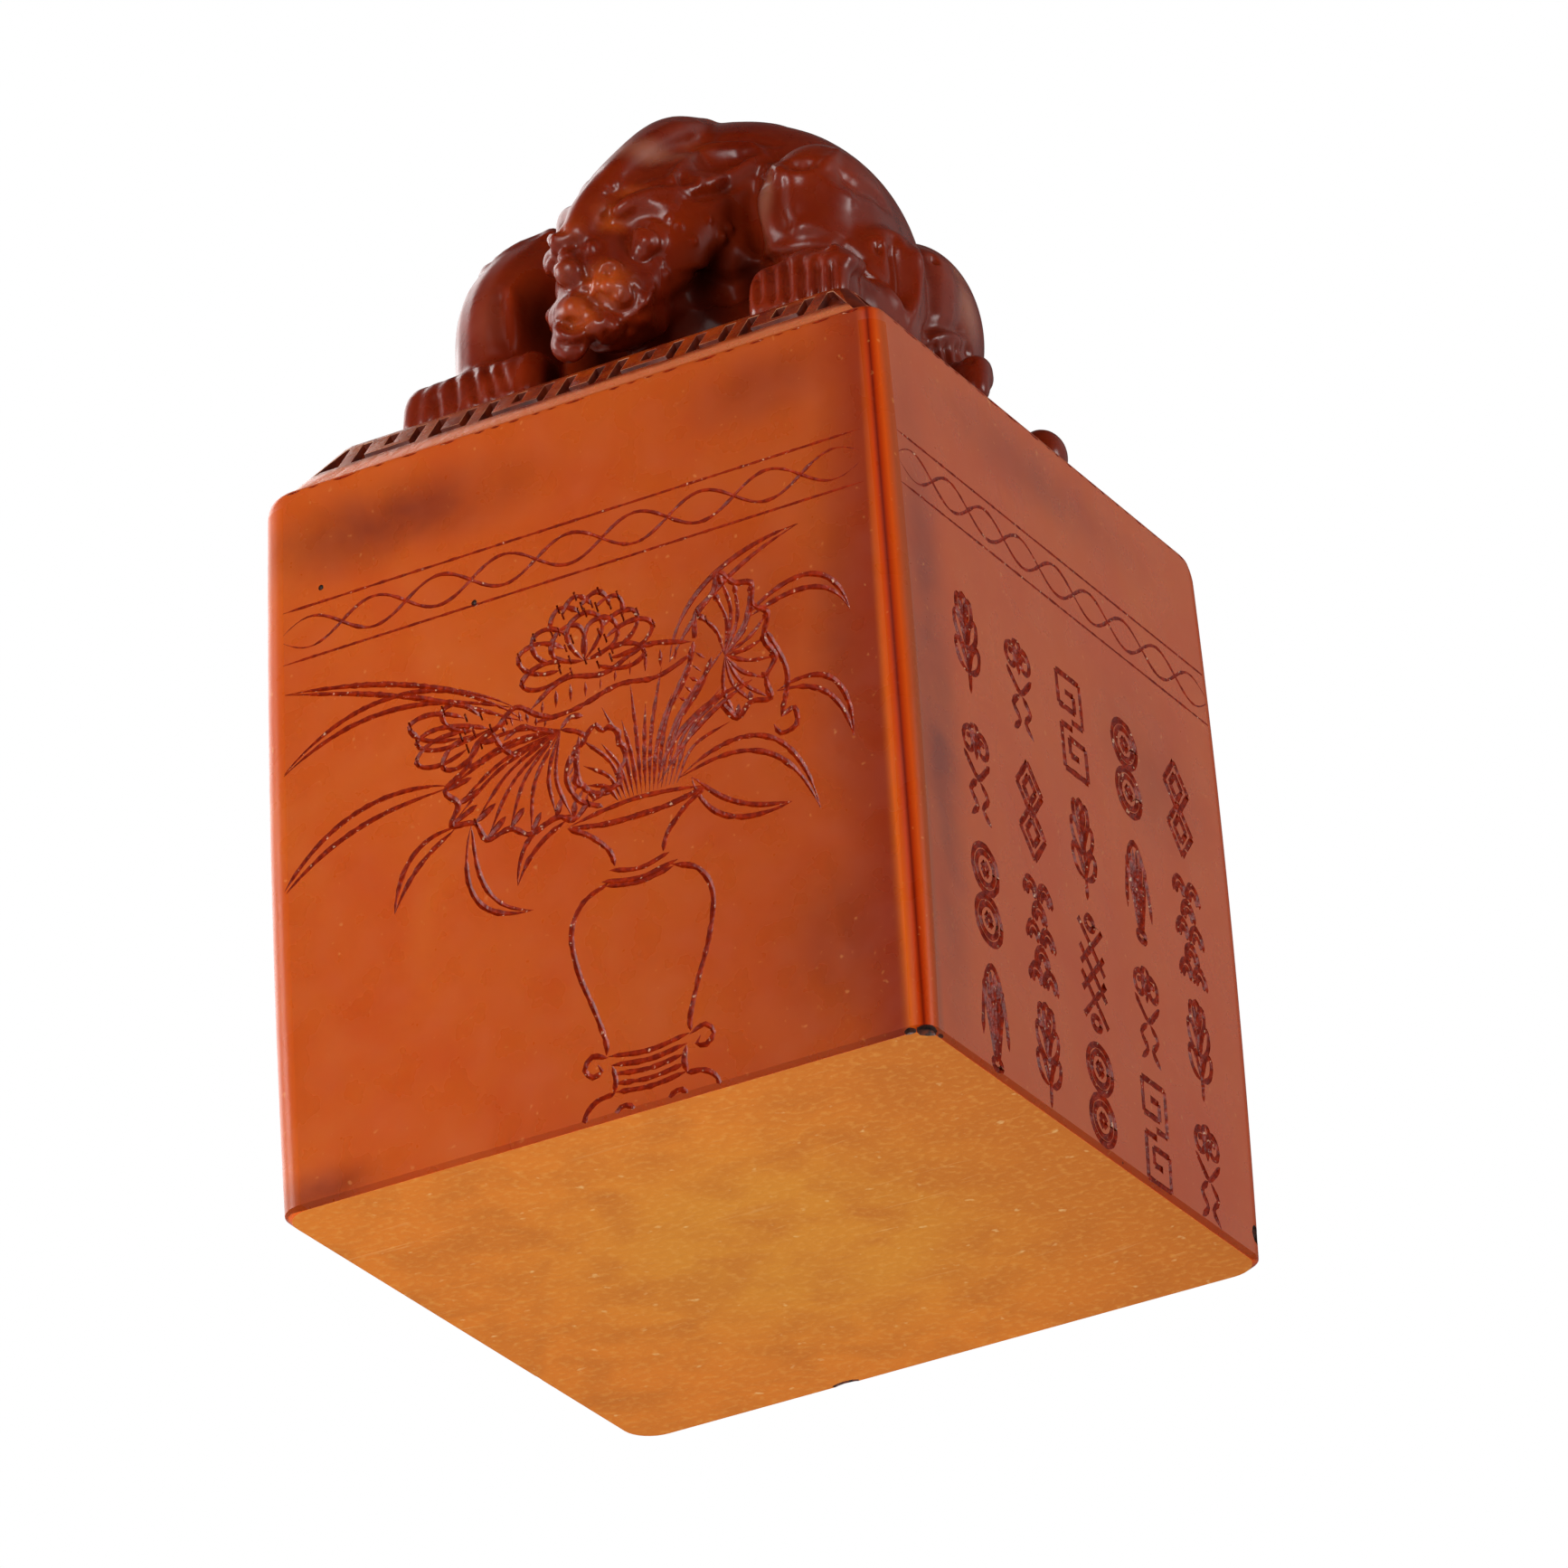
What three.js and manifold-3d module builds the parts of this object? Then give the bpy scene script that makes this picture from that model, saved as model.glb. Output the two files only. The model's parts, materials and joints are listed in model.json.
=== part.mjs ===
import * as THREE from 'three';
import { mergeVertices } from 'three/addons/utils/BufferGeometryUtils.js';
import Module from 'manifold-3d';

// A square soapstone seal with a crouching lion carved on top, in millimetres, +Z up.
// The origin is the middle of the flat printing face. The lion faces -Y, so its left side is +X.

// Stone block: sizes at the printing face, how far each side leans by the top and bellies on the way
const blockWidth = 50;
const blockDepth = 48.8;
const blockHeight = 54.3;
const frontLean = 0.9;
const rightLean = 0.5;
const leftLean = 0.6;
const sideBelly = 0.45;
const cornerRadius = 2.3;
const nearCornerRadius = 1.4;
const footChamfer = 0.35;
const frontEdgeRound = 0.35;
const rightEdgeRound = 0.6;
const backEdgeRound = 1.9;
const leftEdgeRound = 1.1;

// Bevelled shoulder between the block and the lion, with its fret band
const shoulderRise = 4.2;
const shoulderRun = 3.45;
const railWidth = 2.1;
const fretDepth = 0.55;
const fretBar = 1;
const fretGroove = 0.8;
const fretTopBar = 0.45;
const fretWideCup = 5.2;
const fretNarrowCup = 3.1;
const fretWideCups = 4;
const mitreRib = 1.1;

// Lion: its middle line lies a little to the right of the block's
const lionMiddle = 2;
const lionHeight = 26;
const lionSunk = 0.7;

// The lion is drawn on a grid over the platform, in layers up to its back, and so are its sizes
const gridColumns = 40.2;
const gridRows = 38.8;
const gridLayers = 26;
const shoulderWidth = 30.4;
const shoulderLength = 21;
const shoulderDepth = 16;
const haunchHeight = 21;
const haunchWidth = 27;
const haunchLength = 23;
const haunchDepth = 13;
const headWidth = 12.8;
const headHeight = 16;
const headDepth = 11.6;
const headTilt = 33;
const muzzleWidth = 9;
const noseRadius = 1.7;
const eyeSpacing = 7;
const eyeRadius = 1.7;
const browRadius = 1.35;
const lipRadius = 1.5;
const chinRadius = 1.7;
const crestRadius = 2.5;
const earLength = 9;
const earRadius = 2.2;
const foreLegRadius = 3.9;
const hindLegRadius = 4.2;
const pawWidth = 6.6;
const toeRadius = 1.15;
const toeLength = 3.7;
const tailRadius = 1.9;

// Carved seam left between one mass of the lion and the next
const seam = 0.3;

const platformHeight = blockHeight + shoulderRise;
const slopeLength = Math.hypot(shoulderRise, shoulderRun);

// Where the shoulder's slope starts on each side: the rounded top edge of the block
const slopeFoot = {
  left: -blockWidth / 2 + leftLean + leftEdgeRound,
  right: blockWidth / 2 - rightLean - rightEdgeRound,
  front: -blockDepth / 2 + frontLean + frontEdgeRound,
  back: blockDepth / 2 - backEdgeRound,
};
const platformFront = slopeFoot.front + shoulderRun;

const wasm = await Module();
wasm.setup();

// A closed three.js geometry as a solid that can be joined and cut
function solidOf(geometry) {
  const plain = geometry.clone();
  plain.deleteAttribute('normal');
  plain.deleteAttribute('uv');
  const merged = mergeVertices(plain, 1e-5);
  return new wasm.Manifold(new wasm.Mesh({
    numProp: 3,
    vertProperties: new Float32Array(merged.attributes.position.array),
    triVerts: new Uint32Array(merged.index.array),
  }));
}

function joined(solids) {
  return solids.reduce((whole, next) => whole.add(next));
}

function geometryOf(solid) {
  const mesh = solid.getMesh();
  const geometry = new THREE.BufferGeometry();
  geometry.setAttribute('position', new THREE.BufferAttribute(mesh.vertProperties, 3));
  geometry.setIndex(new THREE.BufferAttribute(mesh.triVerts, 1));
  geometry.computeVertexNormals();
  return geometry;
}

function middleOf(ring) {
  const sum = ring.reduce((total, point) => total.add(point), new THREE.Vector3());
  return sum.divideScalar(ring.length);
}

// Skins a stack of rings that have as many points each, and closes both ends with a fan
function loft(rings) {
  const count = rings[0].length;
  const points = rings.flat();
  const faces = [];
  for (let row = 0; row < rings.length - 1; row += 1) {
    for (let i = 0; i < count; i += 1) {
      const a = row * count + i;
      const b = row * count + ((i + 1) % count);
      faces.push(a, b, b + count, a, b + count, a + count);
    }
  }
  const last = (rings.length - 1) * count;
  const low = points.length;
  points.push(middleOf(rings[0]), middleOf(rings[rings.length - 1]));
  for (let i = 0; i < count; i += 1) {
    const j = (i + 1) % count;
    faces.push(low, j, i, low + 1, last + i, last + j);
  }
  const geometry = new THREE.BufferGeometry().setFromPoints(points);
  geometry.setIndex(faces);
  return geometry;
}

// A rectangle with rounded corners at one height, anticlockwise from above.
// The radii are those of the right back, left back, left front and right front corners.
function roundedRing(left, right, front, back, radii, height, steps) {
  const ring = [];
  const corners = [[right, back], [left, back], [left, front], [right, front]];
  corners.forEach(([x, y], quarter) => {
    const radius = radii[quarter];
    const cx = x - Math.sign(x) * radius;
    const cy = y - Math.sign(y) * radius;
    for (let i = 0; i <= steps; i += 1) {
      const angle = (quarter + i / steps) * Math.PI / 2;
      ring.push(new THREE.Vector3(cx + radius * Math.cos(angle), cy + radius * Math.sin(angle), height));
    }
  });
  return ring;
}

// The block's outline at a height, drawn in by an extra amount on each side
function blockRing(height, inset) {
  const rise = height / blockHeight;
  const belly = sideBelly * 4 * rise * (1 - rise);
  const [front, right, back, left] = inset;
  return roundedRing(
    -blockWidth / 2 + leftLean * rise - belly + left,
    blockWidth / 2 - rightLean * rise + belly - right,
    -blockDepth / 2 + frontLean * rise + front,
    blockDepth / 2 - back,
    [cornerRadius, cornerRadius, cornerRadius, nearCornerRadius],
    height,
    6,
  );
}

// Hand-ground block: leaning sides, a worn arris round the printing face and rounded top edges
function sealBlock() {
  const edgeRounds = [frontEdgeRound, rightEdgeRound, backEdgeRound, leftEdgeRound];
  const roundHeight = Math.max(...edgeRounds);
  const rings = [
    blockRing(0, Array(4).fill(footChamfer)),
    blockRing(footChamfer, Array(4).fill(0)),
  ];
  const bellyRings = 4;
  for (let i = 1; i <= bellyRings; i += 1) {
    rings.push(blockRing((i / (bellyRings + 1)) * blockHeight, Array(4).fill(0)));
  }
  const steps = 5;
  for (let i = 0; i <= steps; i += 1) {
    const angle = (i / steps) * Math.PI / 2;
    const height = blockHeight - roundHeight * (1 - Math.sin(angle));
    rings.push(blockRing(height, edgeRounds.map((radius) => radius * (1 - Math.cos(angle)))));
  }
  return solidOf(loft(rings));
}

// Plain shoulder: a flat-topped pyramid with rounded mitres, from the block's edge to the platform
function plainShoulder() {
  const ringAt = (share) => roundedRing(
    slopeFoot.left + shoulderRun * share,
    slopeFoot.right - shoulderRun * share,
    slopeFoot.front + shoulderRun * share,
    slopeFoot.back - shoulderRun * share,
    Array(4).fill(cornerRadius * (1 - share / 2)),
    blockHeight + shoulderRise * share,
    3,
  );
  return solidOf(loft([ringAt(0), ringAt(1)]));
}

// The four slopes: where each starts, which way it runs, which way it climbs and half its length
function slopes() {
  const { left, right, front, back } = slopeFoot;
  const midX = (left + right) / 2;
  const midY = (front + back) / 2;
  const slope = (x, y, along, inward, length) => ({
    origin: new THREE.Vector3(x, y, blockHeight),
    along: new THREE.Vector3(...along, 0),
    up: new THREE.Vector3(...inward, 0).multiplyScalar(shoulderRun / slopeLength)
      .setZ(shoulderRise / slopeLength),
    half: length / 2,
  });
  return [
    slope(midX, front, [1, 0], [0, 1], right - left),
    slope(right, midY, [0, 1], [-1, 0], back - front),
    slope(midX, back, [-1, 0], [0, -1], right - left),
    slope(left, midY, [0, -1], [1, 0], back - front),
  ];
}

// An outline drawn on a slope (across it, then up it) as a prism that stands above and below it
function slopePrism(slope, outline, above, below) {
  const shape = new THREE.Shape(outline.map(([across, up]) => new THREE.Vector2(across, up)));
  const geometry = new THREE.ExtrudeGeometry(shape, { depth: above + below, bevelEnabled: false });
  geometry.translate(0, 0, -below);
  const out = new THREE.Vector3().crossVectors(slope.along, slope.up);
  geometry.applyMatrix4(new THREE.Matrix4().makeBasis(slope.along, slope.up, out).setPosition(slope.origin));
  return solidOf(geometry);
}

// The fret's cups from one end of a slope to the other, wide and narrow by turns, with a post before each
function fretCups() {
  return Array.from({ length: 2 * fretWideCups - 1 }, (_, i) => (i % 2 === 0 ? fretWideCup : fretNarrowCup));
}

// What stands in one cup: a tongue that hangs from the top beam. A wide one is slit from above.
function fretTongue(left, width, stretch, beam) {
  const gap = fretGroove * stretch;
  const foot = railWidth + fretGroove;
  const right = left + width - gap;
  if (width < fretWideCup * stretch) {
    return [[[left + gap, foot], [right, foot], [right, beam], [left + gap, beam]]];
  }
  const middle = left + width / 2;
  const slit = fretGroove / 2;
  const floor = foot + fretGroove * 0.7;
  return [[
    [left + gap, foot], [right, foot], [right, beam], [middle + slit, beam],
    [middle + slit, floor], [middle - slit, floor], [middle - slit, beam], [left + gap, beam],
  ]];
}

// Shoulder with the fret's ground sunk into each slope, which leaves its posts and tongues standing
function fretShoulder() {
  const beam = slopeLength - fretTopBar;
  const overlap = 0.2;
  const cups = fretCups();
  const drawnLength = cups.reduce((sum, cup) => sum + cup + fretBar, fretBar);
  let body = plainShoulder();
  for (const slope of slopes()) {
    const halfAt = (up) => slope.half - shoulderRun * (up / slopeLength) - mitreRib;
    const panel = [
      [-halfAt(railWidth), railWidth], [halfAt(railWidth), railWidth],
      [halfAt(beam), beam], [-halfAt(beam), beam],
    ];
    const stretch = (2 * halfAt(beam) - fretGroove) / drawnLength;
    const bars = [];
    let reach = -stretch * drawnLength / 2;
    const addPost = () => {
      const right = reach + fretBar * stretch;
      const outline = [
        [reach, railWidth - overlap], [right, railWidth - overlap],
        [right, beam + overlap], [reach, beam + overlap],
      ];
      bars.push(slopePrism(slope, outline, 2, fretDepth * 2));
      reach = right;
    };
    addPost();
    for (const cup of cups) {
      for (const outline of fretTongue(reach, cup * stretch, stretch, beam + overlap)) {
        bars.push(slopePrism(slope, outline, 2, fretDepth * 2));
      }
      reach += cup * stretch;
      addPost();
    }
    body = body.subtract(slopePrism(slope, panel, 1, fretDepth).subtract(joined(bars)));
  }
  return body;
}

// One square of the lion's grid in millimetres, each way, and the mean that its round limbs take
const gridAcross = (slopeFoot.right - slopeFoot.left - 2 * shoulderRun) / gridColumns;
const gridBack = (slopeFoot.back - slopeFoot.front - 2 * shoulderRun) / gridRows;
const gridUp = lionHeight / gridLayers;
const gridMean = (gridAcross + gridBack + gridUp) / 3;

// A point of the lion: across from its middle line, back from the platform's front edge, and up
function onPlatform(across, back, up) {
  return new THREE.Vector3(
    lionMiddle + gridAcross * across,
    platformFront + gridBack * back,
    platformHeight - lionSunk + gridUp * up,
  );
}

// An egg-shaped mass, tipped about the crosswise axis. A growth makes it larger all round.
function ball([across, back, up], radii, grow, tilt = 0) {
  const sides = Math.max(...radii) > 5 ? 18 : 10;
  const geometry = new THREE.SphereGeometry(1, sides, Math.round(sides * 0.65));
  geometry.applyMatrix4(new THREE.Matrix4().compose(
    onPlatform(across, back, up),
    new THREE.Quaternion().setFromEuler(new THREE.Euler(THREE.MathUtils.degToRad(tilt), 0, 0)),
    new THREE.Vector3(radii[0] * gridAcross + grow, radii[1] * gridBack + grow, radii[2] * gridUp + grow),
  ));
  return solidOf(geometry);
}

// A round limb that swells and tapers along a smooth curve, with domed ends.
// Each station is across, back, up and the radius there.
function limb(stations, grow, steps = 7, sides = 10) {
  const curve = new THREE.CatmullRomCurve3(stations.map(([x, y, z]) => onPlatform(x, y, z)));
  const frames = curve.computeFrenetFrames(steps, false);
  const radiusAt = (share) => {
    const place = share * (stations.length - 1);
    const i = Math.min(Math.floor(place), stations.length - 2);
    const blend = THREE.MathUtils.smoothstep(place - i, 0, 1);
    return THREE.MathUtils.lerp(stations[i][3], stations[i + 1][3], blend) * gridMean + grow;
  };
  const ringAt = (index, overhang) => {
    const radius = radiusAt(index / steps);
    const angle = overhang * Math.PI / 2;
    const center = curve.getPoint(index / steps)
      .addScaledVector(frames.tangents[index], radius * Math.sin(angle));
    return Array.from({ length: sides }, (_, k) => {
      const turn = (k / sides) * Math.PI * 2;
      return center.clone()
        .addScaledVector(frames.normals[index], radius * Math.cos(angle) * Math.cos(turn))
        .addScaledVector(frames.binormals[index], radius * Math.cos(angle) * Math.sin(turn));
    });
  };
  const rings = [ringAt(0, -0.85), ringAt(0, -0.45)];
  for (let i = 0; i <= steps; i += 1) {
    rings.push(ringAt(i, 0));
  }
  rings.push(ringAt(steps, 0.45), ringAt(steps, 0.85));
  return solidOf(loft(rings));
}

// Toes side by side across a paw, each a short finger that bends down over its front
function toes(paw, count, grow) {
  const span = paw.width - 2 * toeRadius;
  return Array.from({ length: count }, (_, i) => {
    const share = i / (count - 1) - 0.5;
    const angle = paw.turn + share * paw.fan;
    const station = (ahead, up) => [
      paw.across + share * span + Math.sin(angle) * ahead,
      paw.back - Math.cos(angle) * ahead,
      up,
      toeRadius,
    ];
    return limb([
      station(toeLength * 0.1, paw.height),
      station(toeLength * 0.75, paw.height * 0.8),
      station(toeLength, toeRadius * 0.6),
    ], grow, 3, 6);
  });
}

const leftForePaw = { across: 14, back: 4.7, height: 4.6, width: pawWidth, turn: 0.06, fan: 0.4 };
const rightForePaw = { across: -11.3, back: 4.7, height: 4.1, width: pawWidth + 3, turn: -0.12, fan: 0.6 };
const leftHindPaw = { across: 14.6, back: 22.6, height: 3.8, width: pawWidth, turn: 0.2, fan: 0.4 };
const rightHindPaw = { across: -14, back: 22.6, height: 3.8, width: pawWidth, turn: -0.25, fan: 0.6 };

// The back: a high dome over the shoulders and a lower one over the haunches
function torso(grow) {
  return [
    ball(
      [0.4, 16.2, gridLayers - shoulderDepth],
      [shoulderWidth / 2, shoulderLength / 2, shoulderDepth],
      grow,
    ),
    ball(
      [-0.5, 27.7, haunchHeight - haunchDepth],
      [haunchWidth / 2, haunchLength / 2, haunchDepth],
      grow,
    ),
  ];
}

// The head hangs between the forelegs, a little to the right of the lion's middle line
const headAcross = -1.3;
const headBack = 7.1;

function head(grow) {
  const at = (across, back, up) => [headAcross + across, headBack + back, up];
  const eye = eyeSpacing / 2;
  const forms = [
    ball(at(1.7, 0.6, 13.2), [headWidth / 2, headDepth / 2, headHeight / 2], grow, -headTilt),
    ball(at(0.2, -4.2, 8.2), [muzzleWidth / 2, muzzleWidth / 2, muzzleWidth * 0.56], grow, -20),
    limb([
      [...at(-0.4, -7.7, 11.2), noseRadius],
      [...at(-0.1, -5.8, 13.8), noseRadius],
      [...at(1.1, -2.6, 16.6), crestRadius],
      [...at(2, 2, 21.2), crestRadius],
      [...at(2.2, 6.6, 23.4), crestRadius],
    ], grow),
    ball(at(-0.2, -7.6, 4.8), [chinRadius, chinRadius, chinRadius], grow),
    ball(at(-0.9, -7.2, 3.2), [chinRadius * 0.9, chinRadius * 0.9, chinRadius], grow),
  ];
  for (const hand of [-1, 1]) {
    forms.push(
      ball(at(0.3 + hand * eye, -4.8, 10.8), [eyeRadius, eyeRadius, eyeRadius], grow),
      limb([
        [...at(0.8 + hand * 1.4, -6.2, 13.5), browRadius * 0.8],
        [...at(0.8 + hand * eye, -4, 14.8), browRadius],
        [...at(0.8 + hand * (eye + 2.5), -1.6, 14), browRadius * 0.8],
      ], grow, 6, 8),
      ball(at(0.3 + hand * 1.9, -7.6, 8.2), [lipRadius, lipRadius, lipRadius], grow),
      ball(at(hand * 2.6, -6.4, 5.6), [lipRadius, lipRadius, lipRadius], grow),
    );
  }
  return forms;
}

// A leaf-shaped ear laid back along the neck
function ear(hand, grow) {
  const at = (across, along, up) => [
    headAcross + 0.6 + hand * across, headBack + 0.9 + earLength * along, up,
  ];
  return [
    limb([
      [...at(3.4, 0.05, 18.2), earRadius * 0.6],
      [...at(4.9, 0.35, 20.2), earRadius],
      [...at(6.4, 0.8, 22.4), earRadius * 0.6],
    ], grow),
  ];
}

// The left foreleg lies along the edge of the platform, elbow back and paw forward
function leftForeLeg(grow) {
  const r = foreLegRadius;
  const paw = leftForePaw;
  return [
    ball([11.2, 12.7, 11.2], [r * 1.18, r * 1.74, r * 2.05], grow, 12),
    limb([
      [14.2, 12.1, 8, r],
      [14.9, 11.3, 3.1, r * 0.78],
      [paw.across + 0.6, paw.back + 2.6, 3.2, r * 0.7],
    ], grow),
    ball([paw.across, paw.back - 0.8, 3], [pawWidth / 2, 3.2, paw.height * 0.74], grow),
    ...toes(paw, 5, grow),
  ];
}

// The right foreleg stands upright like a column
function rightForeLeg(grow) {
  const r = foreLegRadius;
  const paw = rightForePaw;
  return [
    limb([
      [-9.8, 10.1, 13.4, r * 1.2],
      [-11, 6.9, 9.9, r * 1.08],
      [paw.across - 0.2, paw.back + 0.6, 3, r * 0.85],
    ], grow),
    ball([paw.across, paw.back - 0.8, 2.4], [paw.width / 2, 3.4, paw.height * 0.78], grow),
    ...toes(paw, 5, grow),
  ];
}

// A hind leg is folded: the thigh swells beside the belly and the shin drops to the paw
function hindLeg(hand, paw, grow) {
  const r = hindLegRadius;
  return [
    ball([hand * 10.4, 25.4, 10.3], [r * 1.14, r * 1.45, r * 1.85], grow, -15),
    limb([
      [hand * 11.7, 23.1, 12.6, r * 0.85],
      [hand * 11.9, 22.1, 6.6, r * 0.85],
      [paw.across - hand * 0.8, paw.back + 0.8, 2.6, r * 0.7],
    ], grow),
    ball([paw.across, paw.back, 2], [2.6, 3, paw.height * 0.73], grow),
    ...toes(paw, 4, grow),
  ];
}

// The tail comes out of the rump, lies round the left haunch and ends in a curl
function tail(grow) {
  const r = tailRadius;
  return [
    limb([
      [0, 37.3, 8, r * 1.1],
      [6, 38.1, 4.2, r],
      [12.4, 37.1, 2.7, r],
      [15.8, 33.9, 2.6, r * 0.9],
    ], grow, 12, 10),
    ball([15.8, 33.6, 2.8], [r, r, r * 1.15], grow),
  ];
}

// The masses in the order of roughing out: each is cut clear of those before it
const masses = [
  ['lion_head', head],
  ['lion_left_ear', (grow) => ear(1, grow)],
  ['lion_right_ear', (grow) => ear(-1, grow)],
  ['lion_left_foreleg', leftForeLeg],
  ['lion_right_foreleg', rightForeLeg],
  ['lion_left_hind_leg', (grow) => hindLeg(1, leftHindPaw, grow)],
  ['lion_right_hind_leg', (grow) => hindLeg(-1, rightHindPaw, grow)],
  ['lion_tail', tail],
  ['lion_torso', torso],
];

// The lion's round masses are drawn from a little under the platform, and what is below it is taken off
function belowPlatform() {
  const geometry = new THREE.BoxGeometry(blockWidth * 2, blockDepth * 2, blockHeight);
  geometry.translate(0, 0, platformHeight - blockHeight / 2);
  return solidOf(geometry);
}

const amberStone = new THREE.MeshStandardMaterial({ color: 0xbe4b1e, roughness: 0.28, metalness: 0 });
const darkStone = new THREE.MeshStandardMaterial({ color: 0x5a1a0c, roughness: 0.3, metalness: 0 });

const seal = new THREE.Group();

function addPiece(name, solid, material) {
  const mesh = new THREE.Mesh(geometryOf(solid), material.clone());
  mesh.name = name;
  seal.add(mesh);
}

addPiece('seal_block', sealBlock(), amberStone);
addPiece('fret_shoulder', fretShoulder(), darkStone);
const below = belowPlatform();
const carved = [];
for (const [name, forms] of masses) {
  const mass = carved.reduce((rest, neighbour) => rest.subtract(neighbour), joined(forms(0)).subtract(below));
  addPiece(name, mass, darkStone);
  carved.push(joined(forms(seam)));
}

export default seal;
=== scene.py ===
"""A square soapstone seal: an engraved block, a shoulder with a fret band and a crouching lion as its knob.

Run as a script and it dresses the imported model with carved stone.
"""

import json
import math

import bmesh
import bpy
import numpy as np
from bpy.props import FloatProperty, FloatVectorProperty, PointerProperty
from mathutils import Matrix, Vector, noise
from mathutils.bvhtree import BVHTree

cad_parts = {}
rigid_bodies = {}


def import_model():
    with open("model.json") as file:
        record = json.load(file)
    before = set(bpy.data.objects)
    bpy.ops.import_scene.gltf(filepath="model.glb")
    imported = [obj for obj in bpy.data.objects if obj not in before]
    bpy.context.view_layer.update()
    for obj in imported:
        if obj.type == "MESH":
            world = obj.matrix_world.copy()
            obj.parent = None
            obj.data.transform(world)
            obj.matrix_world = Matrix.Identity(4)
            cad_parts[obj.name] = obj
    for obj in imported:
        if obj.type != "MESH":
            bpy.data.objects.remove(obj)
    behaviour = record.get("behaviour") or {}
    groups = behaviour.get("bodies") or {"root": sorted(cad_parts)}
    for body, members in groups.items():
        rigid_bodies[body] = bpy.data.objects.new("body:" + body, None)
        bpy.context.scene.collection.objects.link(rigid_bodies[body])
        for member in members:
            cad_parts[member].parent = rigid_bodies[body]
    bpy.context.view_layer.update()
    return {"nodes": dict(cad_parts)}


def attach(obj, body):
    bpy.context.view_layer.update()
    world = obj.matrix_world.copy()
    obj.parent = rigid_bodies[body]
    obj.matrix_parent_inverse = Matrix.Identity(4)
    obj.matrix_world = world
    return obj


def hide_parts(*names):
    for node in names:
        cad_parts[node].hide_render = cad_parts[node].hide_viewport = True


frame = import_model()
LION_NODES = sorted(name for name in frame["nodes"] if name.startswith("lion_"))
MM = 0.001
FULL_LINE = 0.5 * MM

bl_info = {
    "name": "Carved stone seal",
    "version": (1, 0, 0),
    "blender": (4, 5, 0),
    "location": "3D View > Sidebar > Seal",
    "description": "Builds a carved soapstone seal with a lion knob",
    "category": "Object",
}


def linear(hex_colour):
    """An sRGB colour such as BE4B1E as the linear RGBA that shaders take."""
    channels = [int(hex_colour[i:i + 2], 16) / 255 for i in (0, 2, 4)]
    return [c / 12.92 if c <= 0.04045 else ((c + 0.055) / 1.055) ** 2.4 for c in channels] + [1.0]


def colour_property(name, description, hex_colour):
    return FloatVectorProperty(
        name=name, description=description, subtype="COLOR", size=4, min=0, max=1,
        default=linear(hex_colour),
    )


class SealBlockSettings(bpy.types.PropertyGroup):
    """Sizes and colours of the stone block and its engraving."""

    corner: FloatProperty(
        name="Corner radius", description="Radius of three of the block's upright edges",
        default=2.3 * MM, unit="LENGTH",
    )
    near_corner: FloatProperty(
        name="Near corner radius",
        description="Radius of the crisper upright edge between the two engraved faces",
        default=1.4 * MM, unit="LENGTH",
    )
    line_width: FloatProperty(
        name="Line width", description="Width of a full engraved line",
        default=FULL_LINE, unit="LENGTH",
    )
    amber: colour_property("Amber stone", "Body colour of the polished block", "CC5010")
    cloud: colour_property("Clouded stone", "Brown-red clouds in the block", "802A12")
    # Painted glow: this red is painted on the thin back edges as if light shone through them.
    edge: colour_property("Edge glow", "Red that the thin edges glow in", "C23800")
    cut: colour_property("Cut lines", "Waxed colour inside the engraved lines", "7A1600")
    ground: colour_property("Ground face", "Matt ochre of the printing face", "C97E24")


class SealLionSettings(bpy.types.PropertyGroup):
    """Sizes and colours of the lion."""

    grain: FloatProperty(
        name="Carving fineness", description="Spacing of the carved surface's points",
        default=0.24 * MM, unit="LENGTH",
    )
    dark: colour_property("Dark stone", "Red-brown skin of the lion", "721C06")
    # Painted glow: this orange is painted where the lion's stone is thin, as if light shone through it.
    glow: colour_property("Thin stone", "Orange where the stone is thin", "C8551A")


class SealStudioSettings(bpy.types.PropertyGroup):
    """The camera's lens."""

    lens: FloatProperty(
        name="Lens", description="Focal length on a 36 mm sensor",
        default=235.75, min=1,
    )


# Camera, in millimetres and degrees

SENSOR_WIDTH = 36
PHOTO_WIDTH = 1734
VIEW_POINT = Vector((297.256, -561.186, -279.534)) * MM
VIEW_AIM = Vector((0.861, 3.814, 35.98)) * MM
VIEW_ROLL = math.radians(-3.91)

# Soft lamps: name, place and width in metres, and power in watts

LAMPS = [
    ("left_softbox", (-0.9, -0.35, 0.25), 0.5, 5.0), ("front_softbox", (0.1, -0.97, 0.15), 0.5, 5.2),
    ("right_softbox", (0.95, 0.1, 0.2), 0.4, 3.2), ("back_softbox", (-0.8, 0.35, 0.65), 0.8, 3.2),
    ("low_softbox", (0.0, -0.8, -0.7), 0.6, 16.0),
]

# The floor and its opening, which the printing face fills, in metres and millimetres

FLOOR_WIDTH = 1.6
FLOOR_INSET = 0.77
OPENING_HALF = (24.67, 24.07)
OPENING_CORNER = 1.35


def view_rotation():
    """Which way the camera looks: at its aim, tipped by its roll."""
    level = (VIEW_AIM - VIEW_POINT).to_track_quat("-Z", "Y").to_matrix()
    return level @ Matrix.Rotation(VIEW_ROLL, 3, "Z")


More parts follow.
